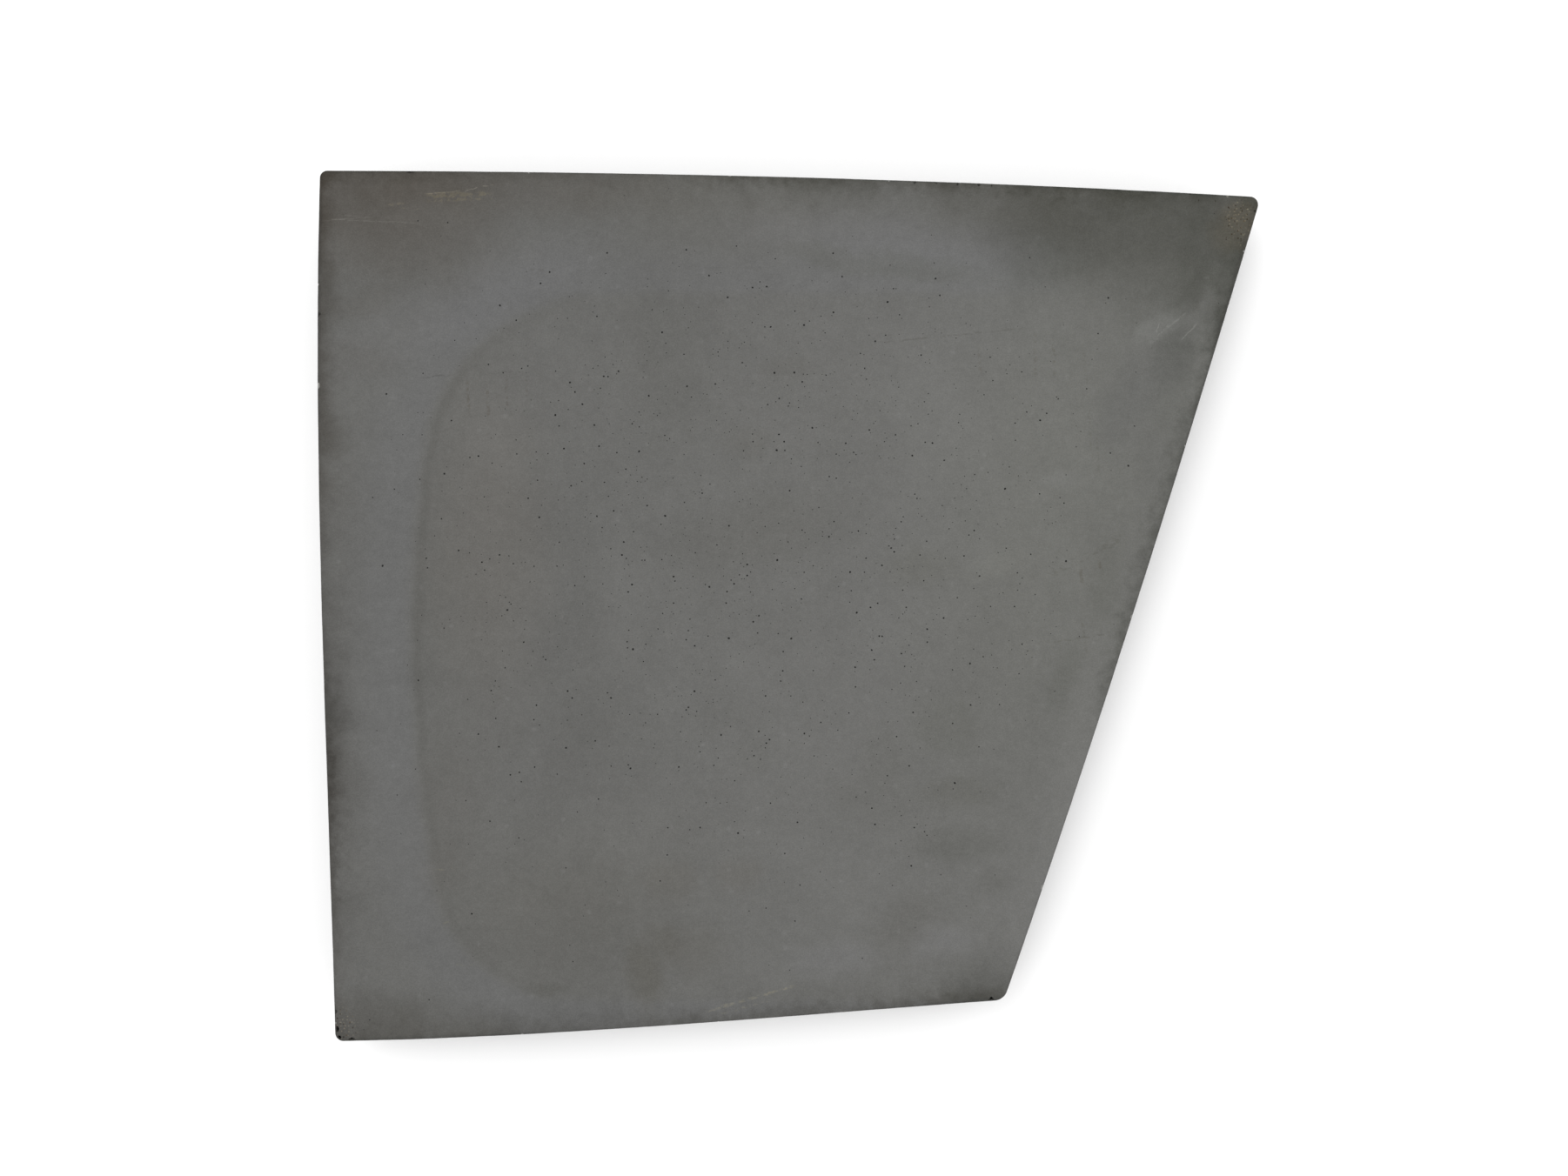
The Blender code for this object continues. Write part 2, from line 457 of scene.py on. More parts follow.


# Patches on the honed face: middle, reach, turn in degrees, softness, and the change of tone, with
# how much redder and how much less blue than grey it is. Most are stains; the broad dark patches
# in the far left, far right and near left corners are painted shade.
PATCHES = (
    ((-12, 53), (8, 5), 0, 0.6, -3, 0.3, 0.6),
    ((1, 77), (8, 4), 0, 0.6, -3, 0.3, 0.5),
    ((-41, 80), (14, 25), 10, 0.7, -3.5, 0, 0.4),
    ((-10, 24), (27, 10), 12, 0.7, -3.5, 0.2, 0.6),
    ((-70, -15), (10, 45), 0, 0.7, -3, 0, 0),
    ((-58, -43), (20, 14), 0, 0.8, -2.5, 0, 0),
    ((-82, 30), (10, 10), 0, 0.8, -2, 0.2, 0),
    ((-98, 20), (16, 44), 0, 0.8, 0, 1.2, 1.2),
    ((-75, -103), (31, 17), 0, 0.7, -4, 0.3, 0.7),
    ((-70, -84), (40, 16), 0, 0.8, 0, 0.2, 0.5),
    ((-109, -60), (12, 17), 0, 0.7, -3, 0.5, 0.4),
    ((-112, -86), (7, 9), 0, 0.8, -3, 0.5, 0.4),
    ((-38, -89), (9, 6), 0, 0.5, -3, 0.6, 0.8),
    ((-16, -86), (6, 5), 0, 0.6, -2, 0.8, 0.8),
    ((-19, -32), (9, 9), 0, 0.8, -2, 0, 0.2),
    ((-10, -49), (8, 6), 0, 0.8, -2, 0, 0.3),
    ((52, -38), (9, 10), 0, 0.5, -4, -0.2, 0.8),
    ((31, -49), (7, 8), 0, 0.6, -2, 0, 0.4),
    ((27, -62), (12, 8), 0, 0.7, -2, 0, 0.4),
    ((55, -61), (12, 5), 6, 0.5, -4, 0, 0.9),
    ((56, -77), (12, 5), 0, 0.5, -5, -0.2, 0.6),
    ((39, -104), (11, 7), 25, 0.7, -5, 0.3, 0.5),
    ((66, -91), (5, 4), 0, 0.6, -4, 0, 0.4),
    ((41, 12), (10, 6), 0, 0.7, -2.5, 0, 1.0),
    ((29, 111), (28, 4), -8, 0.5, -3.5, -0.2, 1.2),
    ((-47, -121), (4, 10), 12, 0.7, -7, 0.8, 2.0),
    ((-41, -110), (5, 7), 0, 0.7, -4, 0.6, 1.2),
    ((-30, -112), (9, 8), 0, 0.8, -3.5, 0.6, 1.0),
    ((-78, -123), (5, 3), 0, 0.6, -5, 0, 0.6),
    ((90, -24), (4, 10), -18, 0.6, -4, -0.3, 0.6),
    ((63, 64), (28, 42), 0, 0.9, 3, -0.2, 0.3),
    ((87, 41), (5, 3), 0, 0.7, 4, 0, -0.5),
    ((66, 13), (9, 4), 15, 0.7, 4, -0.2, 0.6),
    ((29, 120), (47, 7), -6, 0.7, 4, 0, -1.2),
    ((-105, 99), (40, 9), 25, 0.8, 3, 0, -1.0),
    ((15, -115), (14, 5), 4, 0.7, 4, 0, -1.0),
    ((52, -110), (9, 5), 12, 0.7, 4, 0, -1.0),
    ((92, -62), (8, 52), -17, 0.7, 5, 0, 0),
    ((-147, 54), (6, 5), 0, 0.6, -8, 0.4, 0.6),
    ((-146, -56), (6, 13), 0, 0.8, -5, 0.4, 0.4),
    ((-137, -59), (4, 6), 0, 0.7, -4, 0.2, 0.2),
    ((-135, 99), (8, 5), 0, 0.7, -4, 0.6, 0.6),
    ((-136, 80), (10, 5), 0, 0.8, -3, 0.4, 0.4),
    ((-134, 130), (32, 18), -12, 0.8, -12.5, 2.5, 2.2),
    ((-90, 136), (40, 8), -2, 0.8, -6, 1.4, 1.2),
    ((-25, 128), (35, 18), 0, 0.8, -2, 0.3, 1.0),
    ((112, 122), (42, 17), 2, 0.7, -19, -0.3, 1.6),
    ((84, 111), (14, 8), -12, 0.7, -3, -0.3, 0.6),
    ((136, 112), (13, 14), 0, 0.8, -7, -0.2, 0.6),
    ((70, 126), (28, 9), 0, 0.8, -7, 0.2, 0.8),
    ((94, 34), (34, 84), -17, 0.9, 0, -0.4, 1.6),
    ((144, 123), (7, 10), -24, 0.5, 1, 2.4, 2.8),
    ((148, 129), (8, 6), 0, 0.7, 1, 1.2, 1.6),
    ((129, 101), (4, 10), -30, 0.6, -9, -0.2, 0.6),
    ((118, 96), (10, 8), 0, 0.8, -3, -0.2, 0.3),
    ((124, 80), (5, 10), -20, 0.7, -9, -0.2, -0.2),
    ((110, 66), (8, 15), -18, 0.8, -5, 0.0, -1.0),
    ((121, 91), (8, 4), 38, 0.6, 8, -0.2, -0.2),
    ((133, 77), (3, 11), -17, 0.7, 6, 0.0, 0.0),
    ((118, 47), (5, 10), -17, 0.7, -4, 0.0, -0.3),
    ((104, 8), (5, 12), -17, 0.7, -4, -0.2, 0.6),
    ((-141, -135), (19, 8), 2, 0.8, -10, 0.5, 0.8),
    ((66, -121), (13, 9), 10, 0.8, -8, -0.2, 0.4),
)

# Scratches, streaks and grains on the honed face, and small pits painted as dark dots, which is
# painted shade: start, end, half-width, how broken, change of tone, redder, less blue.
MARKS = (
    ((-117.5, 133.8), (-106, 134.5), 0.3, -0.2, 20, 1.5, 5),
    ((-107, 134.3), (-94.8, 136.8), 0.22, -0.2, 22, 1.0, 3),
    ((-118, 133.2), (-96, 133.8), 1.0, -0.1, 10, 2.0, 6),
    ((-117.5, 131.8), (-95, 132.6), 1.3, 0.25, 12, 2.0, 6),
    ((-132, 129.6), (-121, 131), 0.6, 0.25, 12, 1.5, 4),
    ((-126, 129.0), (-119, 128.6), 0.4, 0.25, 8, 1.0, 3),
    ((-151, 124.8), (-135, 126.2), 0.25, -0.3, 12, 0, 0),
    ((-150, 125.4), (-118, 124.0), 0.22, -0.5, 11, 0, 0),
    ((-148, 126.8), (-138, 126.4), 0.3, -0.1, 9, 0, 0),
    ((-28, -132), (3, -123), 0.7, 0.1, 14, 2, 7),
    ((-22, -132.4), (-6, -128), 0.5, 0.2, 12, 2, 6),
    ((-115, -86), (-108, -85), 0.5, 0.2, 9, 1, 5),
    ((-112, -103), (-105, -102), 0.5, 0.2, 8, 1, 5),
    ((-108, -116), (-101, -117), 0.5, 0.2, 9, 1, 5),
    ((119, 87), (129.5, 95.5), 0.4, -0.3, 13, 0, 0),
    ((127.5, 86), (133, 92), 0.3, -0.4, 16, 0, 0.5),
    ((118, 85), (124, 92), 0.4, -0.1, 11, 0, 0),
    ((119.5, 88.5), (120.5, 92), 0.3, -0.3, 13, 0, 0),
    ((-119, 74), (-109, 75), 0.45, -0.2, -9, 0, 0),
    ((-100, 75), (-89, 76), 0.4, 0.0, -7, 0, 0),
    ((27, 85), (79, 90.4), 0.4, -0.1, -8, 0.4, 0.6),
    ((85, -12), (104, -9), 0.4, 0.0, -9, 0.6, 1),
    ((-113, 98), (-102, 97), 0.6, 0.1, -6, 0, 0),
    ((-84, 109), (-75, 109), 0.6, 0.1, -5, 0.5, 0.8),
    ((-75, -40), (-55, -38), 0.35, 0.1, -6, 1, 1),
    ((83, 9), (111, 24), 1.8, 0.3, -7, 0.3, 1.0),
    ((-104, 73), (-103.4, 62), 0.7, -0.1, -9, 1.6, 1.6),
    ((-97.6, 72), (-97, 61), 0.7, 0.0, -9, 1.6, 1.6),
    ((-91.4, 74), (-91, 64), 0.6, 0.0, -8, 1.4, 1.4),
    ((-85, 74), (-84.6, 68), 0.6, 0.1, -7, 1.2, 1.2),
    ((62, 84), (62.6, 72), 0.7, 0.1, -6, 0.8, 1.4),
    ((80, 90), (80.4, 72), 0.7, 0.1, -6, 0.8, 1.4),
    ((86, 88), (86.6, 74), 0.7, 0.1, -7, 0.8, 1.4),
    ((96, 84), (99, 44), 0.6, 0.2, -6, 0.4, 1.2),
    ((100, 56), (101, 42), 0.6, 0.1, -6, 0.4, 1.2),
    ((95, 12), (95.4, 7), 0.8, -0.2, -11, 1.4, 2),
    ((101, 15), (101.2, 12), 0.7, -0.2, -10, 1.4, 2),
    ((95, -2), (97, -16), 0.6, 0.1, -6, 0.6, 1),
    ((148.9, 128.4), (149.3, 128.7), 0.32, -1.0, 46, 1, 6),
    ((145.7, 130.9), (146.2, 130.8), 0.28, -1.0, 28, 3, 10),
    ((142.4, 126.1), (142.6, 126.4), 0.25, -1.0, 20, 3, 9),
    ((147.6, 120.0), (147.8, 120.4), 0.25, -1.0, 24, 4, 11),
    ((144.5, 122.2), (144.9, 122.3), 0.22, -1.0, 18, 3, 8),
    ((149.7, 123.5), (149.8, 123.8), 0.25, -1.0, 22, 4, 11),
    ((146.6, 116.7), (146.7, 117.0), 0.25, -1.0, 26, 4, 10),
    # Small pits painted as dark dots: painted shade.
    ((142.7, 129.1), (143.0, 129.2), 0.42, -1.0, -50, 6, 5),
    ((147.2, 128.0), (147.4, 128.0), 0.4, -1.0, -46, 6, 5),
    ((145.2, 129.8), (145.5, 129.7), 0.36, -1.0, -40, 5, 4),
    ((138.4, 131.4), (138.7, 131.4), 0.36, -1.0, -34, 4, 4),
    ((133.0, 131.5), (133.3, 131.5), 0.34, -1.0, -34, 4, 4),
    ((144.8, 124.8), (145.0, 124.9), 0.42, -1.0, -48, 7, 6),
    ((142.2, 119.3), (142.4, 119.3), 0.36, -1.0, -42, 5, 4),
    ((145.6, 124.1), (145.8, 124.0), 0.34, -1.0, -40, 6, 5),
    ((130.3, 133.7), (130.8, 133.7), 0.4, -1.0, -44, 4, 4),
    ((142.3, 133.2), (142.9, 132.8), 0.45, -1.0, 50, 1, 5),
    ((-145.4, -135.0), (-144.8, -135.3), 0.35, -1.0, 26, 2, 6),
)


def object_millimetres(tree):
    """Object coordinates in millimetres."""
    place = add_node(tree, "ShaderNodeTexCoord").outputs["Object"]
    return scaled(tree, place, 1.0 / MM)


def tone_of(colour):
    """Display levels from 0 to 255 of a colour."""
    return tuple(255.0 * part ** (1.0 / 2.2) for part in colour)


def tone_to_colour(tree, tone, gain):
    """The reflectance of a tone, times a gain for the light it was judged in."""
    share = vector_calc(tree, "MAXIMUM", scaled(tree, tone, 1.0 / 255.0), (0.01,) * 3)
    made = add_node(tree, "ShaderNodeGamma", {"Color": share, "Gamma": 2.2})
    return scaled(tree, made.outputs[0], gain)


def plain_shader(name, roughness, specular=0.5):
    """A new material's tree and its Principled shader, with constants set on it."""
    material = bpy.data.materials.new(name)
    material.use_nodes = True
    tree = material.node_tree
    shader = tree.nodes["Principled BSDF"]
    shader.inputs["Roughness"].default_value = roughness
    shader.inputs["Specular IOR Level"].default_value = specular
    return material, tree, shader


def starting_tone(tree, colour, change=(0.0, 0.0, 0.0)):
    """The tone of a colour, with a change, as a socket."""
    return vector_calc(tree, "ADD", tone_of(colour), change)


def with_total(tree, tone, total):
    """A tone with the same number of levels added to its red, green and blue."""
    return vector_calc(tree, "ADD", tone, combined(tree, total, total, total))


def connect(tree, shader, tone, gain=1.0, rough=None, bump=None):
    """Give a shader its colour, and where wanted its roughness, and a bump's
    height, strength and distance."""
    tree.links.new(tone_to_colour(tree, tone, gain), shader.inputs["Base Color"])
    if rough is not None:
        tree.links.new(rough, shader.inputs["Roughness"])
    if bump is not None:
        inputs = dict(zip(("Height", "Strength", "Distance"), bump))
        made = add_node(tree, "ShaderNodeBump", inputs)
        tree.links.new(made.outputs[0], shader.inputs["Normal"])


def levels(change, redder, yellower):
    """A change of tone as red, green and blue levels."""
    return (change + redder, change, change - yellower)


def corner_points(outline):
    """The outline's four corners: the points furthest out along the diagonals."""
    found = []
    for across, up in ((-1, 1), (1, 1), (1, -1), (-1, -1)):
        found.append(max(outline, key=lambda point: across * point.x + up * point.y))
    return found


def side_bow(outline, start, end):
    """How far the outline swells outwards between two corners."""
    run = (end - start).normalized()
    outwards = Vector((-run.y, run.x))
    return max((point - start).dot(outwards) for point in outline)


# The stone's tones were judged in a dimmer light than the stage's.
STONE_GAIN = 0.70


def honed_material(sizes, outline):
    """The honed working face: calm mottled grey with stains, scratches and a ring left by a
    round-cornered board, with a painted run of light growing to the right, painted shade towards
    its edges and corners, and small pits painted as dark dots (painted shade)."""
    material, tree, shader = plain_shader("honed_stone", 0.75, 0.22)
    flat = object_millimetres(tree)
    warp = add_node(tree, "ShaderNodeTexNoise", {"Vector": flat, "Scale": 0.045, "Detail": 4.0})
    shift = vector_calc(tree, "SUBTRACT", warp.outputs["Color"], (0.5,) * 3)
    place = vector_calc(tree, "MULTIPLY_ADD", shift, (14.0, 14.0, 0.0), flat)
    fine = add_node(tree, "ShaderNodeTexNoise", {"Vector": flat, "Scale": 0.35, "Detail": 3.0})
    fine_shift = vector_calc(tree, "SUBTRACT", fine.outputs["Color"], (0.5,) * 3)
    place = vector_calc(tree, "MULTIPLY_ADD", fine_shift, (4.0, 4.0, 0.0), place)
    nearly = vector_calc(tree, "MULTIPLY_ADD", fine_shift, (1.2, 1.2, 0.0), flat)

    # Painted light: the face grows lighter from the left to the right, and a little darker towards
    # the far side.
    across = eased(tree, part_along(tree, place, "x"), -135.0, 100.0, -2.0, 5.2)
    up = eased(tree, part_along(tree, place, "y"), 78.0, 112.0, 0.6, -2.6)
    painted_light_run = plus(tree, across, up)
    painted_light_run = combined(tree, painted_light_run, painted_light_run, painted_light_run)
    tone = starting_tone(tree, sizes.stone_colour)
    tone = vector_calc(tree, "MULTIPLY_ADD", (1.0, 1.0, 1.0), painted_light_run, tone)

    tone = ring_of_board(tree, tone, flat)
    # Stains, and painted shade in the far left, far right and near left corners.
    stain = stain_and_shade_group()
    for middle, reach, turn, softness, change, redder, yellower in PATCHES:
        angle = math.radians(turn)
        inputs = {
            "Tone": tone,
            "Place": place,
            "Middle": (*middle, 0.0),
            "Long": (math.cos(angle) / reach[0], math.sin(angle) / reach[0], 0.0),
            "Short": (-math.sin(angle) / reach[1], math.cos(angle) / reach[1], 0.0),
            "Softness": softness,
            "Change": levels(change, redder, yellower),
        }
        tone = use_group(tree, stain, inputs)["Tone"]

    # Painted shade towards the sides and corners, and a painted shade line along the arris.
    tone = darken_edges_with_shade(tree, tone, flat, outline)
    breaks = cloud(tree, flat, 1.1, 2.0, 0.6, 31.0, (0.6, 1.0, 1.0))
    # Scratches and grains, and small pits painted as dark dots (painted shade).
    mark = mark_group()
    for start, end, width, gaps, change, redder, yellower in MARKS:
        inputs = {
            "Tone": tone,
            "Place": nearly,
            "Breaks": breaks,
            "Start": (*start, 0.0),
            "End": (*end, 0.0),
            "Width": width,
            "Gaps": gaps,
            "Change": levels(change, redder, yellower),
        }
        tone = use_group(tree, mark, inputs)["Tone"]

    tone = mottled(tree, tone, flat)
    grain = cloud(tree, flat, 0.5, 3.0, 0.6, 5.0)
    patchy = cloud(tree, flat, 18.0, 3.0, 0.5, 9.0)
    rough = layered(tree, 0.75, (patchy, 0.03), (grain, 0.03))
    connect(tree, shader, tone, STONE_GAIN, rough, (grain, 0.12, 0.04 * MM))
    return material


def with_change(tree, tone, cover, change):
    """A tone changed by so many levels where cover is 1."""
    return vector_calc(tree, "ADD", tone, scaled(tree, combined(tree, *change), cover))


def ring_of_board(tree, tone, flat):
    """The dark line that a round-cornered board left, with a pale band outside."""
    x, y = part_along(tree, flat, "x"), part_along(tree, flat, "y")
    lean = calc(tree, "DIVIDE", plus(tree, y, 9.0), 65.0)
    lean = times(tree, times(tree, lean, lean), 5.0, eased(tree, x, -90.0, 20.0, 1.0, 0.0))
    centred = combined(
        tree,
        calc(tree, "ABSOLUTE", minus(tree, minus(tree, x, lean), 10.0)),
        calc(tree, "ABSOLUTE", minus(tree, y, -13.2)),
    )
    rounding = eased(tree, y, -60.0, 40.0, 31.0, 46.0)
    beyond = vector_calc(tree, "SUBTRACT", centred, (130.0, 111.8, 0.0))
    beyond = with_total(tree, beyond, rounding)
    beyond = level_part(tree, beyond)
    outside = vector_calc(tree, "MAXIMUM", beyond, (0.0, 0.0, 0.0))
    across, up = part_along(tree, beyond, "x"), part_along(tree, beyond, "y")
    inside = calc(tree, "MINIMUM", calc(tree, "MAXIMUM", across, up), 0.0)
    far = plus(tree, vector_number(tree, "LENGTH", outside), inside)
    far = minus(tree, far, rounding)
    far = layered(tree, far, (cloud(tree, flat, 9.0, 2.0, 0.5, 3.0), 0.5))
    line = eased(tree, calc(tree, "ABSOLUTE", far), 0.3, 2.8, 1.0, 0.0)
    shade = eased(tree, far, -16.0, -1.0, 0.0, 1.0)
    shade = times(tree, shade, eased(tree, far, 0.0, 2.0, 1.0, 0.0))
    left = eased(tree, x, -104.0, -60.0, 1.0, 0.1)
    near_part = eased(tree, y, -78.0, -34.0, 0.4, 1.0)
    near_part = times(tree, near_part, eased(tree, y, 60.0, 90.0, 1.0, 0.6))
    shown = times(tree, left, near_part)
    tone = with_change(tree, tone, times(tree, line, shown), levels(-4.5, 0.0, 0.2))
    tone = with_change(tree, tone, times(tree, shade, shown), levels(-2.0, 0.1, 0.3))
    pale = eased(tree, far, 1.0, 5.0, 0.0, 1.0)
    pale = times(tree, pale, eased(tree, far, 8.0, 30.0, 1.0, 0.0))
    pale = times(tree, pale, eased(tree, x, 60.0, 110.0, 1.0, 0.0))
    return with_change(tree, tone, pale, levels(2.0, -0.3, -1.4))


def darken_edges_with_shade(tree, tone, flat, outline):
    """Painted shade that darkens the face towards its sides and corners."""
    corners = corner_points([Vector((p.x, p.y)) / MM for p in outline])
    points = [Vector((p.x, p.y)) / MM for p in outline]
    side, grime = side_group(), edge_shade_group()
    wide = cloud(tree, flat, 14.0, 4.0, 0.6, 17.0)
    narrow = cloud(tree, flat, 3.5, 4.0, 0.65, 23.0)
    # Each side's bands of painted shade: from and to along it, reach inwards, change, redder, less
    # blue. The bands 0.8 mm deep are a painted shade line along the rounded arris. The sides run
    # clockwise from the far left corner.
    bands = (
        (
            (0.0, 1.0, 5.0, -8, 0.2, 0.4),
            (0.0, 1.0, 16.0, -5, 0.3, 0.6),
            (0.0, 1.0, 0.8, -7, -1.2, -0.8),
            (0.45, 1.1, 12.0, -8, -0.2, 0.8),
            (-0.1, 0.12, 14.0, -5, 0.4, 0.5),
            (0.4, 0.6, 7.0, -9, 0.0, 0.6),
            (0.6, 0.85, 7.0, -7, 0.0, 0.8),
        ),
        (
            (-0.1, 0.2, 12.0, -8, -0.3, 1.0),
            (0.1, 0.34, 6.0, -17, -0.2, 0.4),
            (0.34, 0.64, 7.0, -18, -0.2, 0.6),
            (-0.1, 0.3, 24.0, -6, -0.3, 0.6),
            (0.0, 1.0, 0.8, -8, 0.4, -0.5),
        ),
        (
            (0.0, 1.0, 8.0, -9, 0.3, 0.6),
            (0.0, 0.8, 16.0, -7, 0.0, 0.3),
            (0.0, 1.0, 0.8, -8, -0.5, -0.5),
            (-0.1, 0.1, 14.0, -9, 0.0, 0.4),
            (0.75, 1.1, 14.0, -8, 0.4, 0.8),
            (0.0, 0.5, 5.0, -8, 0.2, 0.8),
        ),
        (
            (0.0, 1.0, 5.0, -9, 0.6, 0.4),
            (0.1, 0.62, 17.0, -8, 0.4, 0.2),
            (0.6, 1.1, 14.0, -6, 0.8, 0.8),
            (0.64, 1.1, 10.0, -10, 0.3, 0.5),
            (0.16, 0.34, 9.0, -15, 0.5, 0.4),
            (0.3, 0.44, 11.0, -18, 0.3, 0.4),
            (0.0, 1.0, 0.8, -6, -0.4, -0.8),
        ),
    )
    for index, rows in enumerate(bands):
        start, end = corners[index], corners[(index + 1) % 4]
        found = use_group(
            tree,
            side,
            {
                "Place": flat,
                "Start": (*start, 0.0),
                "End": (*end, 0.0),
                "Bow": side_bow(points, start, end),
            },
        )
        for first, last, reach, change, redder, yellower in rows:
            inputs = {
                "Tone": tone,
                "Depth": found["Depth"],
                "Along": found["Along"],
                "Blotch": wide if reach > 9.0 else narrow,
                "From": first,
                "To": last,
                "Reach": reach,
                "Change": levels(change, redder, yellower),
            }
            tone = use_group(tree, grime, inputs)["Tone"]
    return tone


def worn_corners(tree, tone, flat):
    """Tan grains, and small brown pits painted as dark specks, which is painted shade, thick at
    the two corners that have opened up.
    """
    near = None
    for corner in ((146.5, 124.5, 0.0), (-144.5, -137.0, 0.0)):
        away = vector_calc(tree, "SUBTRACT", flat, corner)
        away = level_part(tree, away, (1.0 / 6.0, 1.0 / 9.0))
        cover = eased(tree, vector_number(tree, "LENGTH", away), 0.4, 1.1, 1.0, 0.0)
        near = cover if near is None else calc(tree, "MAXIMUM", near, cover)
    cells = flat_cells(tree, flat, 1.0)
    speck = eased(tree, cells["Distance"], 0.14, 0.34, 1.0, 0.0)
    speck = times(tree, speck, near)
    dark = eased(tree, part_along(tree, cells["Color"], "x"), 0.8, 0.96)
    light = eased(tree, part_along(tree, cells["Color"], "y"), 0.4, 0.9)
    # Painted shade: the pits are dark specks on the flat face.
    tone = with_change(tree, tone, times(tree, speck, dark), levels(-40.0, 5.0, 4.0))
    return with_change(tree, tone, times(tree, speck, light), levels(24.0, 5.0, 6.0))


def flat_cells(tree, flat, scale):
    """Random cells, level with the face, so many to the millimetre."""
    inputs = {"Vector": flat, "Scale": scale, "Randomness": 1.0}
    kind = "ShaderNodeTexVoronoi"
    return add_node(tree, kind, inputs, voronoi_dimensions="2D").outputs


def mottled(tree, tone, flat):
    """The stone's own mottle, from wide clouds down to its grain."""
    # Each cloud's size, detail, strength, offset and stretch.
    sizes = (
        (40.0, 3.0, 1.9, 41.0, None),
        (11.0, 3.0, 2.0, 43.0, None),
        (3.2, 3.0, 2.4, 47.0, None),
        (1.1, 2.0, 2.7, 53.0, None),
        (0.42, 1.0, 5.4, 59.0, None),
        (16.0, 4.0, 0.9, 61.0, (0.12, 1.0, 1.0)),
        (16.0, 4.0, 0.9, 67.0, (1.0, 0.12, 1.0)),
    )
    total = None
    for size, detail, strength, offset, stretch in sizes:
        lump = cloud(tree, flat, size, detail, 0.55, offset, stretch)
        total = layered(tree, total, (lump, strength))
    tone = with_total(tree, tone, total)
    tone = worn_corners(tree, tone, flat)
    # Pale fuzzy specks where lime has bloomed.
    cells = flat_cells(tree, flat, 0.11)
    speck = eased(tree, cells["Distance"], 0.03, 0.13, 1.0, 0.0)
    chosen = add_node(tree, "ShaderNodeSeparateXYZ", {0: cells["Color"]})
    speck = times(tree, speck, eased(tree, chosen.outputs["X"], 0.6, 1.0))
    ragged = cloud(tree, flat, 1.2, 2.0, 0.5)
    speck = times(tree, speck, eased(tree, ragged, -1.0, 0.6))
    return with_change(tree, tone, speck, levels(7.0, 0.0, -0.5))


def cut_material(sizes):
    """The sawn sides: the same stone, a little paler, with the blade's upright lines, and darker
    towards the bottom."""
    material, tree, shader = plain_shader("cut_stone", 0.75, 0.35)
    flat = object_millimetres(tree)
    tone = starting_tone(tree, sizes.stone_colour, (-4.0, -4.0, -3.0))
    lines = cloud(tree, flat, 1.2, 3.0, 0.6, 71.0, (1.0, 1.0, 0.04))
    broad = cloud(tree, flat, 12.0, 4.0, 0.6, 73.0, (1.0, 1.0, 0.5))
    grain = cloud(tree, flat, 0.6, 2.0, 0.6, 79.0)
    height = add_node(tree, "ShaderNodeSeparateXYZ", {0: flat}).outputs["Z"]
    ragged = layered(tree, height, (broad, 2.0))
    bottom = SLAB_LOW.z / MM
    lower_darkening = eased(tree, ragged, bottom, bottom + 9.0, -6.0, 0.0)
    total = layered(tree, lower_darkening, (broad, 6.0), (lines, 4.0), (grain, 5.0))
    tone = with_total(tree, tone, total)
    rough = layered(tree, 0.75, (grain, 0.05))
    relief = layered(tree, grain, (lines, 0.7))
    connect(tree, shader, tone, STONE_GAIN, rough, (relief, 0.3, 0.12 * MM))
    return material


def sawn_material(sizes):
    """The unpolished underside: paler, dusty, with the saw's wide arcs."""
    material, tree, shader = plain_shader("sawn_stone", 0.85, 0.25)
    flat = object_millimetres(tree)
    tone = starting_tone(tree, sizes.stone_colour, (6.0, 6.0, 6.5))
    away = vector_calc(tree, "SUBTRACT", flat, (60.0, -420.0, 0.0))
    far = vector_number(tree, "LENGTH", level_part(tree, away))
    uneven = cloud(tree, flat, 30.0, 3.0, 0.5, 83.0)
    far = layered(tree, far, (uneven, 1.2))
    arcs = calc(tree, "SINE", times(tree, far, 1.7))
    strong = eased(tree, cloud(tree, flat, 22.0, 3.0, 0.5, 89.0), -0.6, 0.9)
    arcs = times(tree, arcs, strong)
    grain = cloud(tree, flat, 0.8, 3.0, 0.65, 97.0)
    broad = cloud(tree, flat, 25.0, 4.0, 0.6, 101.0)
    total = layered(tree, None, (broad, 4.0), (arcs, 3.0), (grain, 4.0))
    tone = with_total(tree, tone, total)
    rough = layered(tree, 0.85, (grain, 0.04))
    relief = layered(tree, grain, (arcs, 0.6))
    connect(tree, shader, tone, STONE_GAIN, rough, (relief, 0.4, 0.15 * MM))
    return material


def hole_material(name, colour, spread):
    """Stone seen inside holes and chips: one tone, mottled by its grain."""
    material, tree, shader = plain_shader(name, 0.85, 0.2)
    speckle = cloud(tree, object_millimetres(tree), 0.7, 2.0, 0.6, 103.0)
    tone = starting_tone(tree, colour)
    connect(tree, shader, with_total(tree, tone, times(tree, speckle, spread)))
    return material


# -------------------------------------------------------------------- slab shape


def slab_outline(step):
    """The slab's outline at its wall, clockwise from above, in short steps."""
    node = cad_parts["slab"]
    middle = (SLAB_LOW + SLAB_HIGH) / 2.0
    level = SLAB_HIGH.z - 1.0 * MM
    places = {}
    for vertex in node.data.vertices:
        if level < vertex.co.z < SLAB_HIGH.z - 0.5 * MM:
            key = (round(vertex.co.x, 6), round(vertex.co.y, 6))
            places[key] = Vector((vertex.co.x, vertex.co.y))
    centre = Vector((middle.x, middle.y))
    ordered = sorted(
        places.values(),
        key=lambda point: -math.atan2(point.y - centre.y, point.x - centre.x),
    )
    outline = []
    for index, point in enumerate(ordered):
        after = ordered[(index + 1) % len(ordered)]
        parts = max(1, math.ceil((after - point).length / step))
        for part in range(parts):
            outline.append(point.lerp(after, part / parts))
    return outline


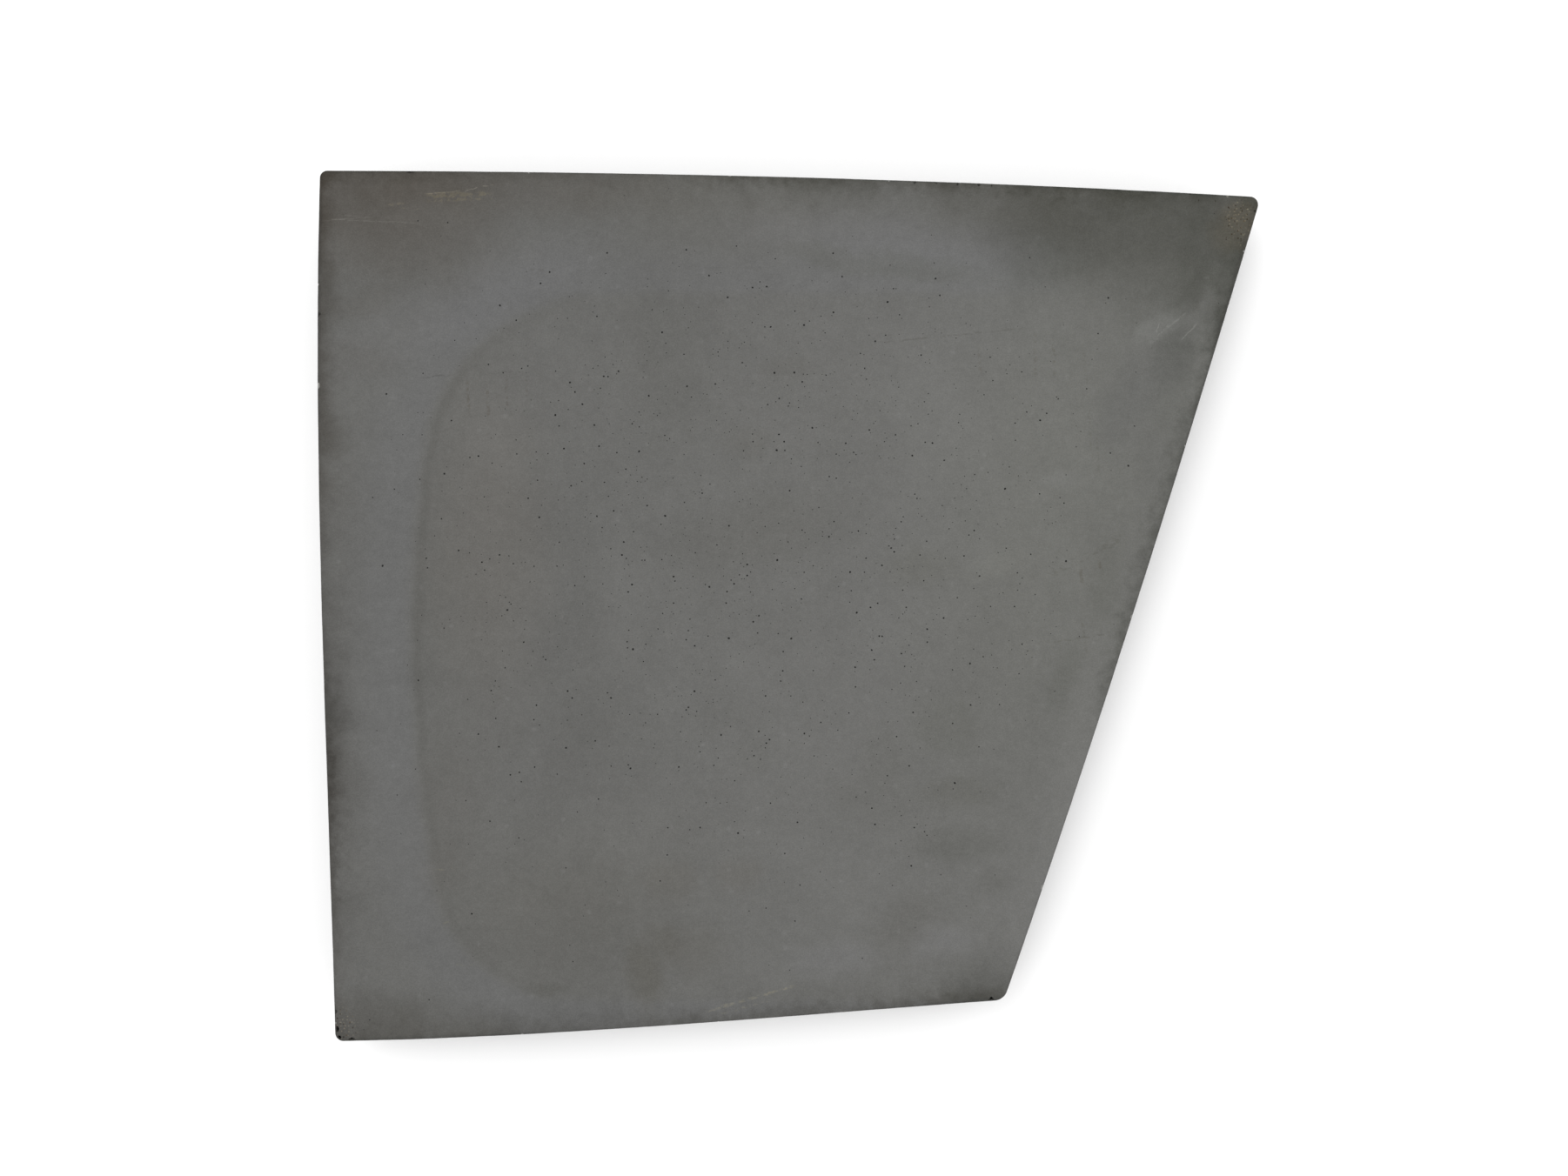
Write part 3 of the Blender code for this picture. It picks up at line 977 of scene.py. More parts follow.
def outward_directions(outline):
    """The level direction out of the slab at each point of the outline."""
    found = []
    for index in range(len(outline)):
        run = outline[(index + 1) % len(outline)] - outline[index - 1]
        found.append(Vector((-run.y, run.x)).normalized())
    return found


def arris_widths(outline, sizes):
    """The arris width at each point, which wanders as hand-rubbed edges do."""
    found = []
    for point in outline:
        slow = noise.noise(Vector((point.x, point.y, 0.0)) / (16.0 * MM))
        quick = noise.noise(Vector((point.x, point.y, 0.05)) / (4.0 * MM))
        wander = 1.0 + sizes.arris_unevenness * (slow + 0.5 * quick)
        found.append(sizes.arris_width * wander)
    return found


ARRIS_STEPS = 4
SIDE_ROWS = 8


def arris_rows(points, level, up, across, rise):
    """Rings round an arris, from points with their directions and widths. Across
    and rise are how it turns: sine and cosine below, cosine and sine above."""
    rows = []
    for step in range(ARRIS_STEPS + 1):
        angle = math.radians(90.0 * step / ARRIS_STEPS)
        row = []
        for point, out, width in points:
            flat = point - out * width * (1.0 - across(angle))
            row.append((flat.x, flat.y, level + up * width * (1.0 - rise(angle))))
        rows.append(row)
    return rows


def slab_rows(sizes):
    """The slab's outline, and its rings from the underside to the working face."""
    outline = slab_outline(sizes.outline_step)
    directions = outward_directions(outline)
    widths = arris_widths(outline, sizes)
    low_widths = list(reversed(widths))
    points = list(zip(outline, directions, low_widths))
    rows = arris_rows(points, SLAB_LOW.z, 1.0, math.sin, math.cos)
    for step in range(1, SIDE_ROWS):
        row = []
        share = step / SIDE_ROWS
        for index, (point, out) in enumerate(zip(outline, directions)):
            low = SLAB_LOW.z + low_widths[index]
            high = SLAB_HIGH.z - widths[index]
            height = low + (high - low) * share
            cell = Vector((point.x / 14.0, point.y / 14.0, height / 22.0)) / MM
            dip = sizes.side_waviness * (noise.noise(cell) - 0.5)
            flat = point + out * dip * math.sin(math.pi * share)
            row.append((flat.x, flat.y, height))
        rows.append(row)
    points = list(zip(outline, directions, widths))
    return outline, rows + arris_rows(points, SLAB_HIGH.z, -1.0, math.cos, math.sin)


FACE_SLOTS = {"honed": 0, "cut": 1, "sawn": 2, "lip": 3, "hole": 4, "chip": 5}


def object_from(name, body):
    """A finished body as an object, not yet in the scene."""
    bmesh.ops.recalc_face_normals(body, faces=body.faces)
    mesh = bpy.data.meshes.new(name)
    body.to_mesh(mesh)
    body.free()
    return bpy.data.objects.new(name, mesh)


def slab_body(name, rows):
    """A closed mesh through the rings, with one big face above and below."""
    body = bmesh.new()
    rings = [[body.verts.new(place) for place in row] for row in rows]
    count = len(rings[0])
    for ring_index in range(1, len(rings)):
        lower, upper = rings[ring_index - 1], rings[ring_index]
        top_arris = ring_index > len(rings) - ARRIS_STEPS
        for index in range(count):
            after = (index + 1) % count
            face = body.faces.new((lower[after], lower[index], upper[index], upper[after]))
            face.smooth = True
            face.material_index = FACE_SLOTS["honed" if top_arris else "cut"]
    body.faces.new(rings[0]).material_index = FACE_SLOTS["sawn"]
    body.faces.new(list(reversed(rings[-1]))).material_index = FACE_SLOTS["honed"]
    thing = object_from(name, body)
    bpy.context.scene.collection.objects.link(thing)
    return thing


# One pinhole as (radius, depth) rings: its mouth has a radius of 1 and lies just
# above the surface, then come a worn lip and a bowl.
HOLE_SHAPE = ((1.06, -0.1), (1.0, 0.02), (0.74, 0.22), (0.55, 1.0))
HOLE_SIDES = 6


def hole_cutter():
    """The tool that cuts one pinhole."""
    body = bmesh.new()
    rings = []
    for radius, depth in HOLE_SHAPE:
        ring = []
        for step in range(HOLE_SIDES):
            angle = math.tau * step / HOLE_SIDES
            place = (radius * math.cos(angle), radius * math.sin(angle), -depth)
            ring.append(body.verts.new(place))
        rings.append(ring)
    for index, (upper, lower) in enumerate(zip(rings, rings[1:])):
        for step in range(HOLE_SIDES):
            after = (step + 1) % HOLE_SIDES
            face = body.faces.new((upper[step], upper[after], lower[after], lower[step]))
            face.material_index = FACE_SLOTS["lip" if index == 0 else "hole"]
            face.smooth = True
    cap = body.faces.new(rings[-1])
    cap.material_index = FACE_SLOTS["hole"]
    cap.smooth = True
    body.faces.new(rings[0]).material_index = FACE_SLOTS["lip"]
    return object_from("hole_cutter", body)


def bell(tree, place, centre, reach):
    """A number that falls off from 1 round a centre, both in millimetres."""
    away = vector_calc(tree, "SUBTRACT", place, (centre[0] * MM, centre[1] * MM, 0.0))
    away = vector_calc(tree, "DIVIDE", away, (reach[0] * MM, reach[1] * MM, 1.0))
    away = level_part(tree, away)
    return calc(tree, "EXPONENT", times(tree, dot(tree, away, away), -1.0))


HOLE_SOCKETS = "Spacing, Density, Radius, Seed:Int"


def pinhole_tree(strips):
    """Geometry Nodes that cut pinholes into a body: thick on the working face
    in a wide oval, thin towards its sides, and sparse on the sides and below."""
    sockets = "Geometry:Geometry, Cutter:Object, " + HOLE_SOCKETS + ", Honed:Material"
    tree, taken, given = new_tree("pinholes", "GeometryNodeTree", sockets, "Geometry:Geometry")
    cutter = add_node(tree, "GeometryNodeObjectInfo", {"Object": taken["Cutter"]})
    normal = add_node(tree, "GeometryNodeInputNormal").outputs[0]
    facing = add_node(tree, "ShaderNodeSeparateXYZ", {0: normal}).outputs["Z"]
    place = add_node(tree, "GeometryNodeInputPosition").outputs[0]
    inside = None
    for start, _, inwards in strips:
        away = vector_calc(tree, "SUBTRACT", place, (*start, 0.0))
        depth = dot(tree, away, (*inwards, 0.0))
        inside = depth if inside is None else calc(tree, "MINIMUM", inside, depth)
    thick = bell(tree, place, (-7.0, 27.0), (107.0, 93.0))
    thick = times(tree, thick, eased(tree, inside, 6.0 * MM, 45.0 * MM, 0.02, 1.0))
    # Two worn corners have opened up too.
    for corner in ((146.0, 124.5), (-144.5, -137.5)):
        thick = layered(tree, thick, (bell(tree, place, corner, (5.5, 7.5)), 0.8))
    lumps = add_node(tree, "ShaderNodeTexNoise", {"Vector": place, "Scale": 90.0, "Detail": 1.0})
    thick = times(tree, thick, eased(tree, lumps.outputs[0], 0.3, 0.7, 0.55, 1.35))
    joined = tree.nodes.new("GeometryNodeJoinGeometry")
    # Faces from the one slope to the other, the share of holes, and whether they
    # thin out: the working face, then the sides and the underside.
    kinds = ((0.9, 2.0, 1.0, True), (-2.0, 0.1, 0.1, False))
    for order, (low, high, amount, thinned) in enumerate(kinds):
        wanted = between(tree, facing, low, high)
        density = times(tree, taken["Density"], amount)
        seed = plus(tree, taken["Seed"], float(order))
        points = scattered(tree, taken, wanted, density, seed)
        kept = points["Points"]
        if thinned:
            chance = random_number(tree, 0.0, 1.0, 3 + order)
            drop = calc(tree, "GREATER_THAN", chance, thick)
            inputs = {"Geometry": kept, "Selection": drop}
            kept = add_node(tree, "GeometryNodeDeleteGeometry", inputs, domain="POINT")
            kept = kept.outputs[0]
        size = calc(tree, "POWER", random_number(tree, 0.0, 1.0, 11 + order), 4.5)
        size = calc(tree, "MULTIPLY_ADD", size, 0.6, 0.4)
        size = times(tree, size, taken["Radius"])
        angles = combined(tree, 0.0, 0.0, random_number(tree, 0.0, math.tau, 17 + order))
        turn = add_node(tree, "FunctionNodeEulerToRotation", {"Euler": angles})
        inputs = {"Rotation": points["Rotation"], "Rotate By": turn.outputs[0]}
        spin = add_node(tree, "FunctionNodeRotateRotation", inputs, rotation_space="LOCAL")
        wide = times(tree, size, random_number(tree, 0.75, 1.3, 23 + order))
        deep = times(tree, size, random_number(tree, 0.8, 1.5, 29))
        scale = combined(tree, wide, size, deep)
        placed = placed_on(tree, kept, cutter.outputs["Geometry"], spin.outputs[0], scale)
        tree.links.new(placed, joined.inputs[0])
    real = add_node(tree, "GeometryNodeRealizeInstances", {0: joined.outputs[0]})
    cut = less_tools(tree, taken["Geometry"], real.outputs[0])
    flat_again = add_node(tree, "GeometryNodeRealizeInstances", {0: cut})
    upper = calc(tree, "GREATER_THAN", facing, 0.9999)
    where = add_node(tree, "ShaderNodeSeparateXYZ", {0: place}).outputs["Z"]
    level = calc(tree, "GREATER_THAN", where, SLAB_HIGH.z - 0.01 * MM)
    inputs = {
        "Geometry": flat_again.outputs[0],
        "Selection": times(tree, upper, level),
        "Material": taken["Honed"],
    }
    done = add_node(tree, "GeometryNodeSetMaterial", inputs)
    tree.links.new(done.outputs[0], given["Geometry"])
    return tree


def scattered(tree, taken, wanted, density, seed):
    """A node that scatters points on the wanted faces, none too near another."""
    inputs = {
        "Mesh": taken["Geometry"],
        "Selection": wanted,
        "Distance Min": taken["Spacing"],
        "Density Max": density,
        "Seed": seed,
    }
    kind = "GeometryNodeDistributePointsOnFaces"
    return add_node(tree, kind, inputs, distribute_method="POISSON").outputs


def placed_on(tree, points, instance, rotation, scale):
    """Copies of an instance on points."""
    inputs = {
        "Points": points,
        "Instance": instance,
        "Rotation": rotation,
        "Scale": scale,
    }
    return add_node(tree, "GeometryNodeInstanceOnPoints", inputs).outputs[0]


def less_tools(tree, body, tools):
    """A body with tools cut out of it."""
    inputs = {"Mesh 1": body, "Mesh 2": tools}
    settings = {"operation": "DIFFERENCE", "solver": "MANIFOLD"}
    return add_node(tree, "GeometryNodeMeshBoolean", inputs, **settings).outputs["Mesh"]


def random_number(tree, low, high, seed):
    """A random number for each point, the same in every run."""
    made = tree.nodes.new("FunctionNodeRandomValue")
    made.data_type = "FLOAT"
    values = {"Min_001": low, "Max_001": high, "Seed": seed}
    for socket in made.inputs:
        if socket.identifier in values:
            socket.default_value = values[socket.identifier]
    return made.outputs[1]


def use_tree(thing, tree, inputs):
    """Put a tree on an object, and set each input by its socket's identifier."""
    modifier = thing.modifiers.new(tree.name, "NODES")
    modifier.node_group = tree
    for item in tree.interface.items_tree:
        if item.in_out == "INPUT" and item.name in inputs:
            modifier[item.identifier] = inputs[item.name]


def chip_tree():
    """Geometry Nodes that knock small chips out of the arrises, and cut the ones that are placed
    one by one."""
    sockets = "Geometry:Geometry, Placed Chips:Object, " + HOLE_SOCKETS
    tree, taken, given = new_tree(
        "edge_chips", "GeometryNodeTree", sockets + ", Chipped:Material", "Geometry:Geometry"
    )
    normal = add_node(tree, "GeometryNodeInputNormal").outputs[0]
    facing = calc(tree, "ABSOLUTE", part_along(tree, normal, "z"))
    on_arris = between(tree, facing, 0.3, 0.9)
    points = scattered(tree, taken, on_arris, taken["Density"], taken["Seed"])
    ball = add_node(tree, "GeometryNodeMeshIcoSphere", {"Radius": 1.0, "Subdivisions": 2})
    lumps = add_node(tree, "ShaderNodeTexNoise", {"Scale": 1.7, "Detail": 1.0})
    lumps = vector_calc(tree, "SUBTRACT", lumps.outputs["Color"], (0.5, 0.5, 0.5))
    inputs = {"Geometry": ball.outputs["Mesh"], "Offset": scaled(tree, lumps, 0.8)}
    rough_ball = add_node(tree, "GeometryNodeSetPosition", inputs)
    size = calc(tree, "POWER", random_number(tree, 0.0, 1.0, 41), 3.0)
    size = calc(tree, "MULTIPLY_ADD", size, 0.75, 0.25)
    size = times(tree, size, taken["Radius"])
    wide, deep = [times(tree, size, random_number(tree, 0.7, 1.9, n)) for n in (43, 47)]
    scale = combined(tree, wide, deep, times(tree, size, 0.55))
    ball = rough_ball.outputs[0]
    placed = placed_on(tree, points["Points"], ball, points["Rotation"], scale)
    by_hand = add_node(tree, "GeometryNodeObjectInfo", {"Object": taken["Placed Chips"]})
    joined = tree.nodes.new("GeometryNodeJoinGeometry")
    tree.links.new(placed, joined.inputs[0])
    tree.links.new(by_hand.outputs["Geometry"], joined.inputs[0])
    real = add_node(tree, "GeometryNodeRealizeInstances", {0: joined.outputs[0]})
    inputs = {"Geometry": real.outputs[0], "Material": taken["Chipped"]}
    tools = add_node(tree, "GeometryNodeSetMaterial", inputs)
    tree.links.new(less_tools(tree, taken["Geometry"], tools.outputs[0]), given["Geometry"])
    return tree


# Chips that are placed one by one: about where on the working face's edge, then how long along the
# edge, how far in and how deep, as radii.
PLACED_CHIPS = (
    ((-122.0, 140.8), 1.9, 0.25, 0.45),
    ((41.0, 137.6), 0.6, 0.4, 0.4),
    ((48.0, 137.4), 0.5, 0.35, 0.4),
    ((55.0, 137.0), 0.5, 0.4, 0.4),
    ((62.0, 136.6), 0.7, 0.35, 0.4),
    ((66.0, 136.4), 0.4, 0.35, 0.4),
    ((151.5, 127.6), 0.5, 0.4, 0.4),
    ((66.5, -128.0), 1.1, 0.6, 0.6),
    ((-146.5, -137.0), 1.3, 0.7, 0.6),
    ((-145.6, -140.0), 0.9, 0.8, 0.6),
    ((-142.0, -141.4), 1.4, 0.5, 0.6),
    ((-147.2, -131.0), 0.8, 0.4, 0.5),
    ((-152.6, 94.0), 0.9, 0.35, 0.5),
)


def placed_chips(outline):
    """Balls that cut the chips placed one by one, each at the outline's nearest point."""
    directions = outward_directions(outline)
    body = bmesh.new()
    for middle, long, deep, high in PLACED_CHIPS:
        target = Vector(middle) * MM
        index = min(range(len(outline)), key=lambda i: (outline[i] - target).length)
        out = directions[index]
        along = Vector((-out.y, out.x))
        ball = bmesh.ops.create_icosphere(body, subdivisions=2, radius=1.0)["verts"]
        for vertex in ball:
            bump = 1.0 + 0.25 * noise.noise(vertex.co * 1.7 + Vector((*target, 0.0)) / MM)
            part = vertex.co * bump * MM
            flat = outline[index] + along * part.x * long + out * part.y * (deep + 0.8)
            flat += out * 0.1 * MM
            vertex.co = (flat.x, flat.y, SLAB_HIGH.z + part.z * (high + 0.2))
    mesh = bpy.data.meshes.new("placed_chips")
    body.to_mesh(mesh)
    body.free()
    return bpy.data.objects.new("placed_chips", mesh)


def made_plain(thing):
    """The object with its modifiers' result as its plain mesh."""
    graph = bpy.context.evaluated_depsgraph_get()
    mesh = bpy.data.meshes.new_from_object(
        thing.evaluated_get(graph), preserve_all_data_layers=True, depsgraph=graph
    )
    thing.modifiers.clear()
    thing.data = mesh
    mesh.name = thing.name
    return thing


BAKE_SCALE = 2.35
UNDERSIDE_SCALE = 0.87
BAKE_EDGE = 0.6 * MM


def side_strips(outline):
    """Each side's start, the way along it and the way in from it."""
    corners = corner_points(outline)
    strips = []
    for index, corner in enumerate(corners):
        run = (corners[(index + 1) % 4] - corner).normalized()
        strips.append((corner, run, Vector((run.y, -run.x))))
    return strips


def lay_out_for_baking(mesh, strips):
    """A UV map with the working face large, the sides in strips under it and the
    underside beside them, so that the pinholes don't break the face up."""
    layer = mesh.uv_layers.new(name="OFBake")
    for face in mesh.polygons:
        middle = face.center
        flat = Vector((middle.x, middle.y))
        if middle.z > SLAB_HIGH.z - BAKE_EDGE:
            kind = "above"
        elif middle.z < SLAB_LOW.z + BAKE_EDGE:
            kind = "below"
        else:
            depths = [(flat - start).dot(inwards) for start, _, inwards in strips]
            kind = depths.index(min(depths))
        for loop in face.loop_indices:
            place = mesh.vertices[mesh.loops[loop].vertex_index].co
            if kind == "above":
                across = 0.01 + (place.x - SLAB_LOW.x) * BAKE_SCALE
                up = 0.325 + (place.y - SLAB_LOW.y) * BAKE_SCALE
            elif kind == "below":
                across = 0.745 + (SLAB_HIGH.y - place.y) * UNDERSIDE_SCALE
                up = 0.01 + (place.x - SLAB_LOW.x) * UNDERSIDE_SCALE
            else:
                start, run, _ = strips[kind]
                along = (Vector((place.x, place.y)) - start).dot(run)
                across = 0.015 + along * BAKE_SCALE
                up = 0.01 + 0.078 * kind + (place.z - SLAB_LOW.z) * BAKE_SCALE
            layer.data[loop].uv = (across, up)


def shade_slab(mesh):
    """Flat shading on the level faces, and smooth shading with crisp corners on
    the rest."""
    for face in mesh.polygons:
        face.use_smooth = abs(face.normal.z) < 0.9999
    mesh.set_sharp_from_angle(angle=SHARP_ANGLE)


class MakeSlab(bpy.types.Operator):
    """Make the honed stone slab, with its arris, pinholes and chips"""

    bl_idname = "tooling_slab.make_slab"
    bl_label = "Stone slab"

    def execute(self, context):
        sizes = context.scene.slab_sizes
        outline, rows = slab_rows(sizes)
        slab = slab_body("stone_slab", rows)
        materials = (
            honed_material(sizes, outline),
            cut_material(sizes),
            sawn_material(sizes),
            # The pinholes' paler lip is a painted highlight, and their dark colour is painted
            # shade.
            hole_material("pinhole_lip", tuple(1.25 * c for c in sizes.stone_colour), 3),
            hole_material("pinhole", sizes.pinhole_shade_colour, 2),
            hole_material("chip", tuple(1.5 * c for c in sizes.stone_colour), 5),
        )
        for material in materials:
            slab.data.materials.append(material)
        cutter = hole_cutter()
        for material in materials:
            cutter.data.materials.append(material)
        strips = side_strips(outline)
        chips = placed_chips(outline)
        inputs = {
            "Placed Chips": chips,
            "Spacing": sizes.chip_spacing,
            "Density": sizes.chip_density,
            "Radius": sizes.chip_radius,
            "Seed": sizes.pinhole_seed,
            "Chipped": materials[FACE_SLOTS["chip"]],
        }
        use_tree(slab, chip_tree(), inputs)
        inputs = {
            "Cutter": cutter,
            "Spacing": sizes.pinhole_spacing,
            "Density": sizes.pinhole_density,
            "Radius": sizes.pinhole_radius,
            "Seed": sizes.pinhole_seed,
            "Honed": materials[FACE_SLOTS["honed"]],
        }
        use_tree(slab, pinhole_tree(strips), inputs)
        made_plain(slab)
        bpy.data.objects.remove(cutter)
        bpy.data.objects.remove(chips)
        shade_slab(slab.data)
        lay_out_for_baking(slab.data, strips)
        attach(slab, "root")
        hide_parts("slab")
        return {"FINISHED"}


# -------------------------------------------------------------- feet and discs


def turned_piece(name, profile, centre, steps, wobble=0.0):
    """A solid of revolution about an upright axis through a centre. The profile
    runs from the axis at the bottom, up the outside, to the axis at the top."""
    body = bmesh.new()
    rings = []
    for radius, height in profile:
        if radius == 0.0:
            rings.append([body.verts.new((centre.x, centre.y, height))])
            continue
        ring = []
        for step in range(steps):
            angle = math.tau * step / steps
            way = Vector((math.cos(angle), math.sin(angle)))
            cell = Vector((way.x * 2.0, way.y * 2.0, height / (0.6 * MM)))
            far = radius + wobble * noise.noise(cell + Vector((*centre, 0.0)) / MM)
            ring.append(body.verts.new((centre.x + way.x * far, centre.y + way.y * far, height)))
        rings.append(ring)
    for lower, upper in zip(rings, rings[1:]):
        for step in range(steps):
            after = (step + 1) % steps
            if len(lower) == 1:
                corners = (lower[0], upper[after], upper[step])
            elif len(upper) == 1:
                corners = (lower[step], lower[after], upper[0])
            else:
                corners = (lower[step], lower[after], upper[after], upper[step])
            body.faces.new(corners).smooth = True
    thing = object_from(name, body)
    thing.data.set_sharp_from_angle(angle=SHARP_ANGLE)
    bpy.context.scene.collection.objects.link(thing)
    return thing


def arc(centre, radius, start, end, steps):
    """Points (radius, height) round an arc, from one angle to another in degrees."""
    points = []
    for step in range(steps + 1):
        angle = math.radians(start + (end - start) * step / steps)
        points.append((centre[0] + radius * math.cos(angle), centre[1] + radius * math.sin(angle)))
    return points


def foot_profile(low, high, sizes):
    """The moulded foot's section: a dished sole with a grip groove, a rounded
    tread, a leaning wall with the mould's parting line, and a lightly rounded rim."""
    top_radius = (high.x - low.x) / 2.0
    lean = math.tan(sizes.wall_slope)
    base_radius = top_radius - (high.z - low.z) * lean
    edge = 1.0 * MM
    rim = 0.4 * MM
    slope = math.degrees(sizes.wall_slope)
    groove = sizes.groove_depth
    profile = [
        (0.0, low.z + 0.55 * MM),
        (0.55 * MM, low.z + 0.55 * MM),
        (0.7 * MM, low.z + 0.75 * MM),
        (2.4 * MM, low.z + 0.75 * MM),
    ]
    profile += arc((2.7 * MM, low.z + 0.3 * MM), 0.3 * MM, 180.0, 270.0, 3)
    for middle in (4.4 * MM, 6.0 * MM):
        profile += [
            (middle - 0.45 * MM, low.z),
            (middle - 0.3 * MM, low.z + groove * 0.8),
            (middle - 0.15 * MM, low.z + groove),
            (middle + 0.15 * MM, low.z + groove),
            (middle + 0.3 * MM, low.z + groove * 0.8),
            (middle + 0.45 * MM, low.z),
        ]
    profile += arc((base_radius - edge, low.z + edge), edge, -90.0, -slope, 6)
    seam = low.z + 4.3 * MM
    wall = profile[-1]
    reach = wall[0] + (seam - wall[1]) * lean
    profile += [
        (reach - 0.12 * MM * lean, seam - 0.12 * MM),
        (reach + 0.09 * MM, seam - 0.05 * MM),
        (reach + 0.09 * MM, seam + 0.05 * MM),
        (reach + 0.12 * MM * lean, seam + 0.12 * MM),
    ]
    profile += arc((top_radius - rim, high.z - rim), rim, -slope, 90.0, 5)
    profile += [(top_radius * 0.5, high.z), (0.0, high.z)]
    return profile


def rubber_material(sizes):
    """Moulded black rubber: matt, dusty, a little greyer where it is rubbed."""
    material, tree, shader = plain_shader("moulded_rubber", 0.72, 0.4)
    flat = object_millimetres(tree)
    grain = cloud(tree, flat, 0.25, 2.0, 0.6, 3.0)
    haze = cloud(tree, flat, 3.5, 4.0, 0.6, 13.0)
    dust = cloud(tree, flat, 0.45, 1.0, 0.5, 19.0)
    dust = eased(tree, dust, 0.75, 1.1)
    total = layered(tree, None, (haze, 5.0), (grain, 2.0), (dust, 26.0))
    height = layered(tree, part_along(tree, flat, "z"), (haze, 0.3))
    total = plus(tree, total, eased(tree, height, 0.1, 0.9, 9.0, 0.0))
    tone = with_total(tree, starting_tone(tree, sizes.rubber_colour), total)
    rough = layered(tree, 0.72, (haze, 0.06))
    connect(tree, shader, tone, 1.0, rough, (grain, 0.35, 0.05 * MM))
    return material


def foam_material(sizes):
    """Cut closed-cell foam: small cells, with painted shade in their hollows, so their walls are
    paler.
    """
    material, tree, shader = plain_shader("adhesive_foam", 0.9, 0.2)
    flat = object_millimetres(tree)
    inputs = {"Vector": flat, "Scale": 3.4, "Randomness": 1.0}
    cells = add_node(tree, "ShaderNodeTexVoronoi", inputs)
    # Painted shade: the cells' hollows are darker.
    hollow_and_shade = eased(tree, cells.outputs["Distance"], 0.12, 0.5, 0.0, 1.0)
    haze = cloud(tree, flat, 2.5, 3.0, 0.6, 29.0)
    total = layered(tree, -20.0, (hollow_and_shade, 34.0), (haze, 6.0))
    tone = with_total(tree, starting_tone(tree, sizes.foam_colour), total)
    connect(tree, shader, tone, 1.0, None, (hollow_and_shade, 0.6, 0.08 * MM))
    return material


def node_centre(node):
    """The level middle of a CAD node's box, and the box."""
    low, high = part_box(node)
    return ((low + high) / 2.0).to_2d(), low, high


class MakeFeet(bpy.types.Operator):
    """Make the four moulded rubber feet"""

    bl_idname = "tooling_slab.make_feet"
    bl_label = "Rubber feet"

    def execute(self, context):
        sizes = context.scene.foot_sizes
        rubber = rubber_material(sizes)
        for name in CORNER_NAMES:
            centre, low, high = node_centre("foot_" + name)
            profile = foot_profile(low, high, sizes)
            foot = turned_piece("rubber_foot_" + name, profile, centre, 56)
            foot.data.materials.append(rubber)
            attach(foot, "root")
            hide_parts("foot_" + name)
        return {"FINISHED"}


class MakeDiscs(bpy.types.Operator):
    """Make the foam adhesive discs between the feet and the slab"""

    bl_idname = "tooling_slab.make_discs"
    bl_label = "Adhesive discs"

    def execute(self, context):
        foam = foam_material(context.scene.foot_sizes)
        for name in CORNER_NAMES:
            centre, low, high = node_centre("adhesive_" + name)
            radius = (high.x - low.x) / 2.0
            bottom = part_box("foot_" + name)[1].z
            top = SLAB_LOW.z
            # The foam is pressed against its neighbours, and bulges between two
            # films of glue.
            film, inset = 0.08 * MM, 0.12 * MM
            span = top - bottom - 2.0 * film
            profile = [(0.0, bottom), (radius, bottom), (radius, bottom + film)]
            profile.append((radius - inset, bottom + film))
            for step in range(1, 8):
                share = step / 8
                bulge = 0.2 * MM * math.sin(math.pi * share)
                profile.append((radius - inset + bulge, bottom + film + span * share))
            profile += [(radius - inset, top - film), (radius, top - film)]
            profile += [(radius, top), (0.0, top)]
            disc = turned_piece("foam_disc_" + name, profile, centre, 72, 0.05 * MM)
            disc.data.materials.append(foam)
            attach(disc, "root")
            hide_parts("adhesive_" + name)
        return {"FINISHED"}


# The floor lies just under the soles, the key light hangs over the far left
# corner, and the camera looks straight down from over this point.
FLOOR_HEIGHT = -0.02 * MM
KEY_PLACE = (-0.2, 0.24, 1.7)
KEY_SIZE = 0.8
CAMERA_OVER = (-1.24 * MM, 5.8 * MM)
SENSOR_WIDTH = 36.0


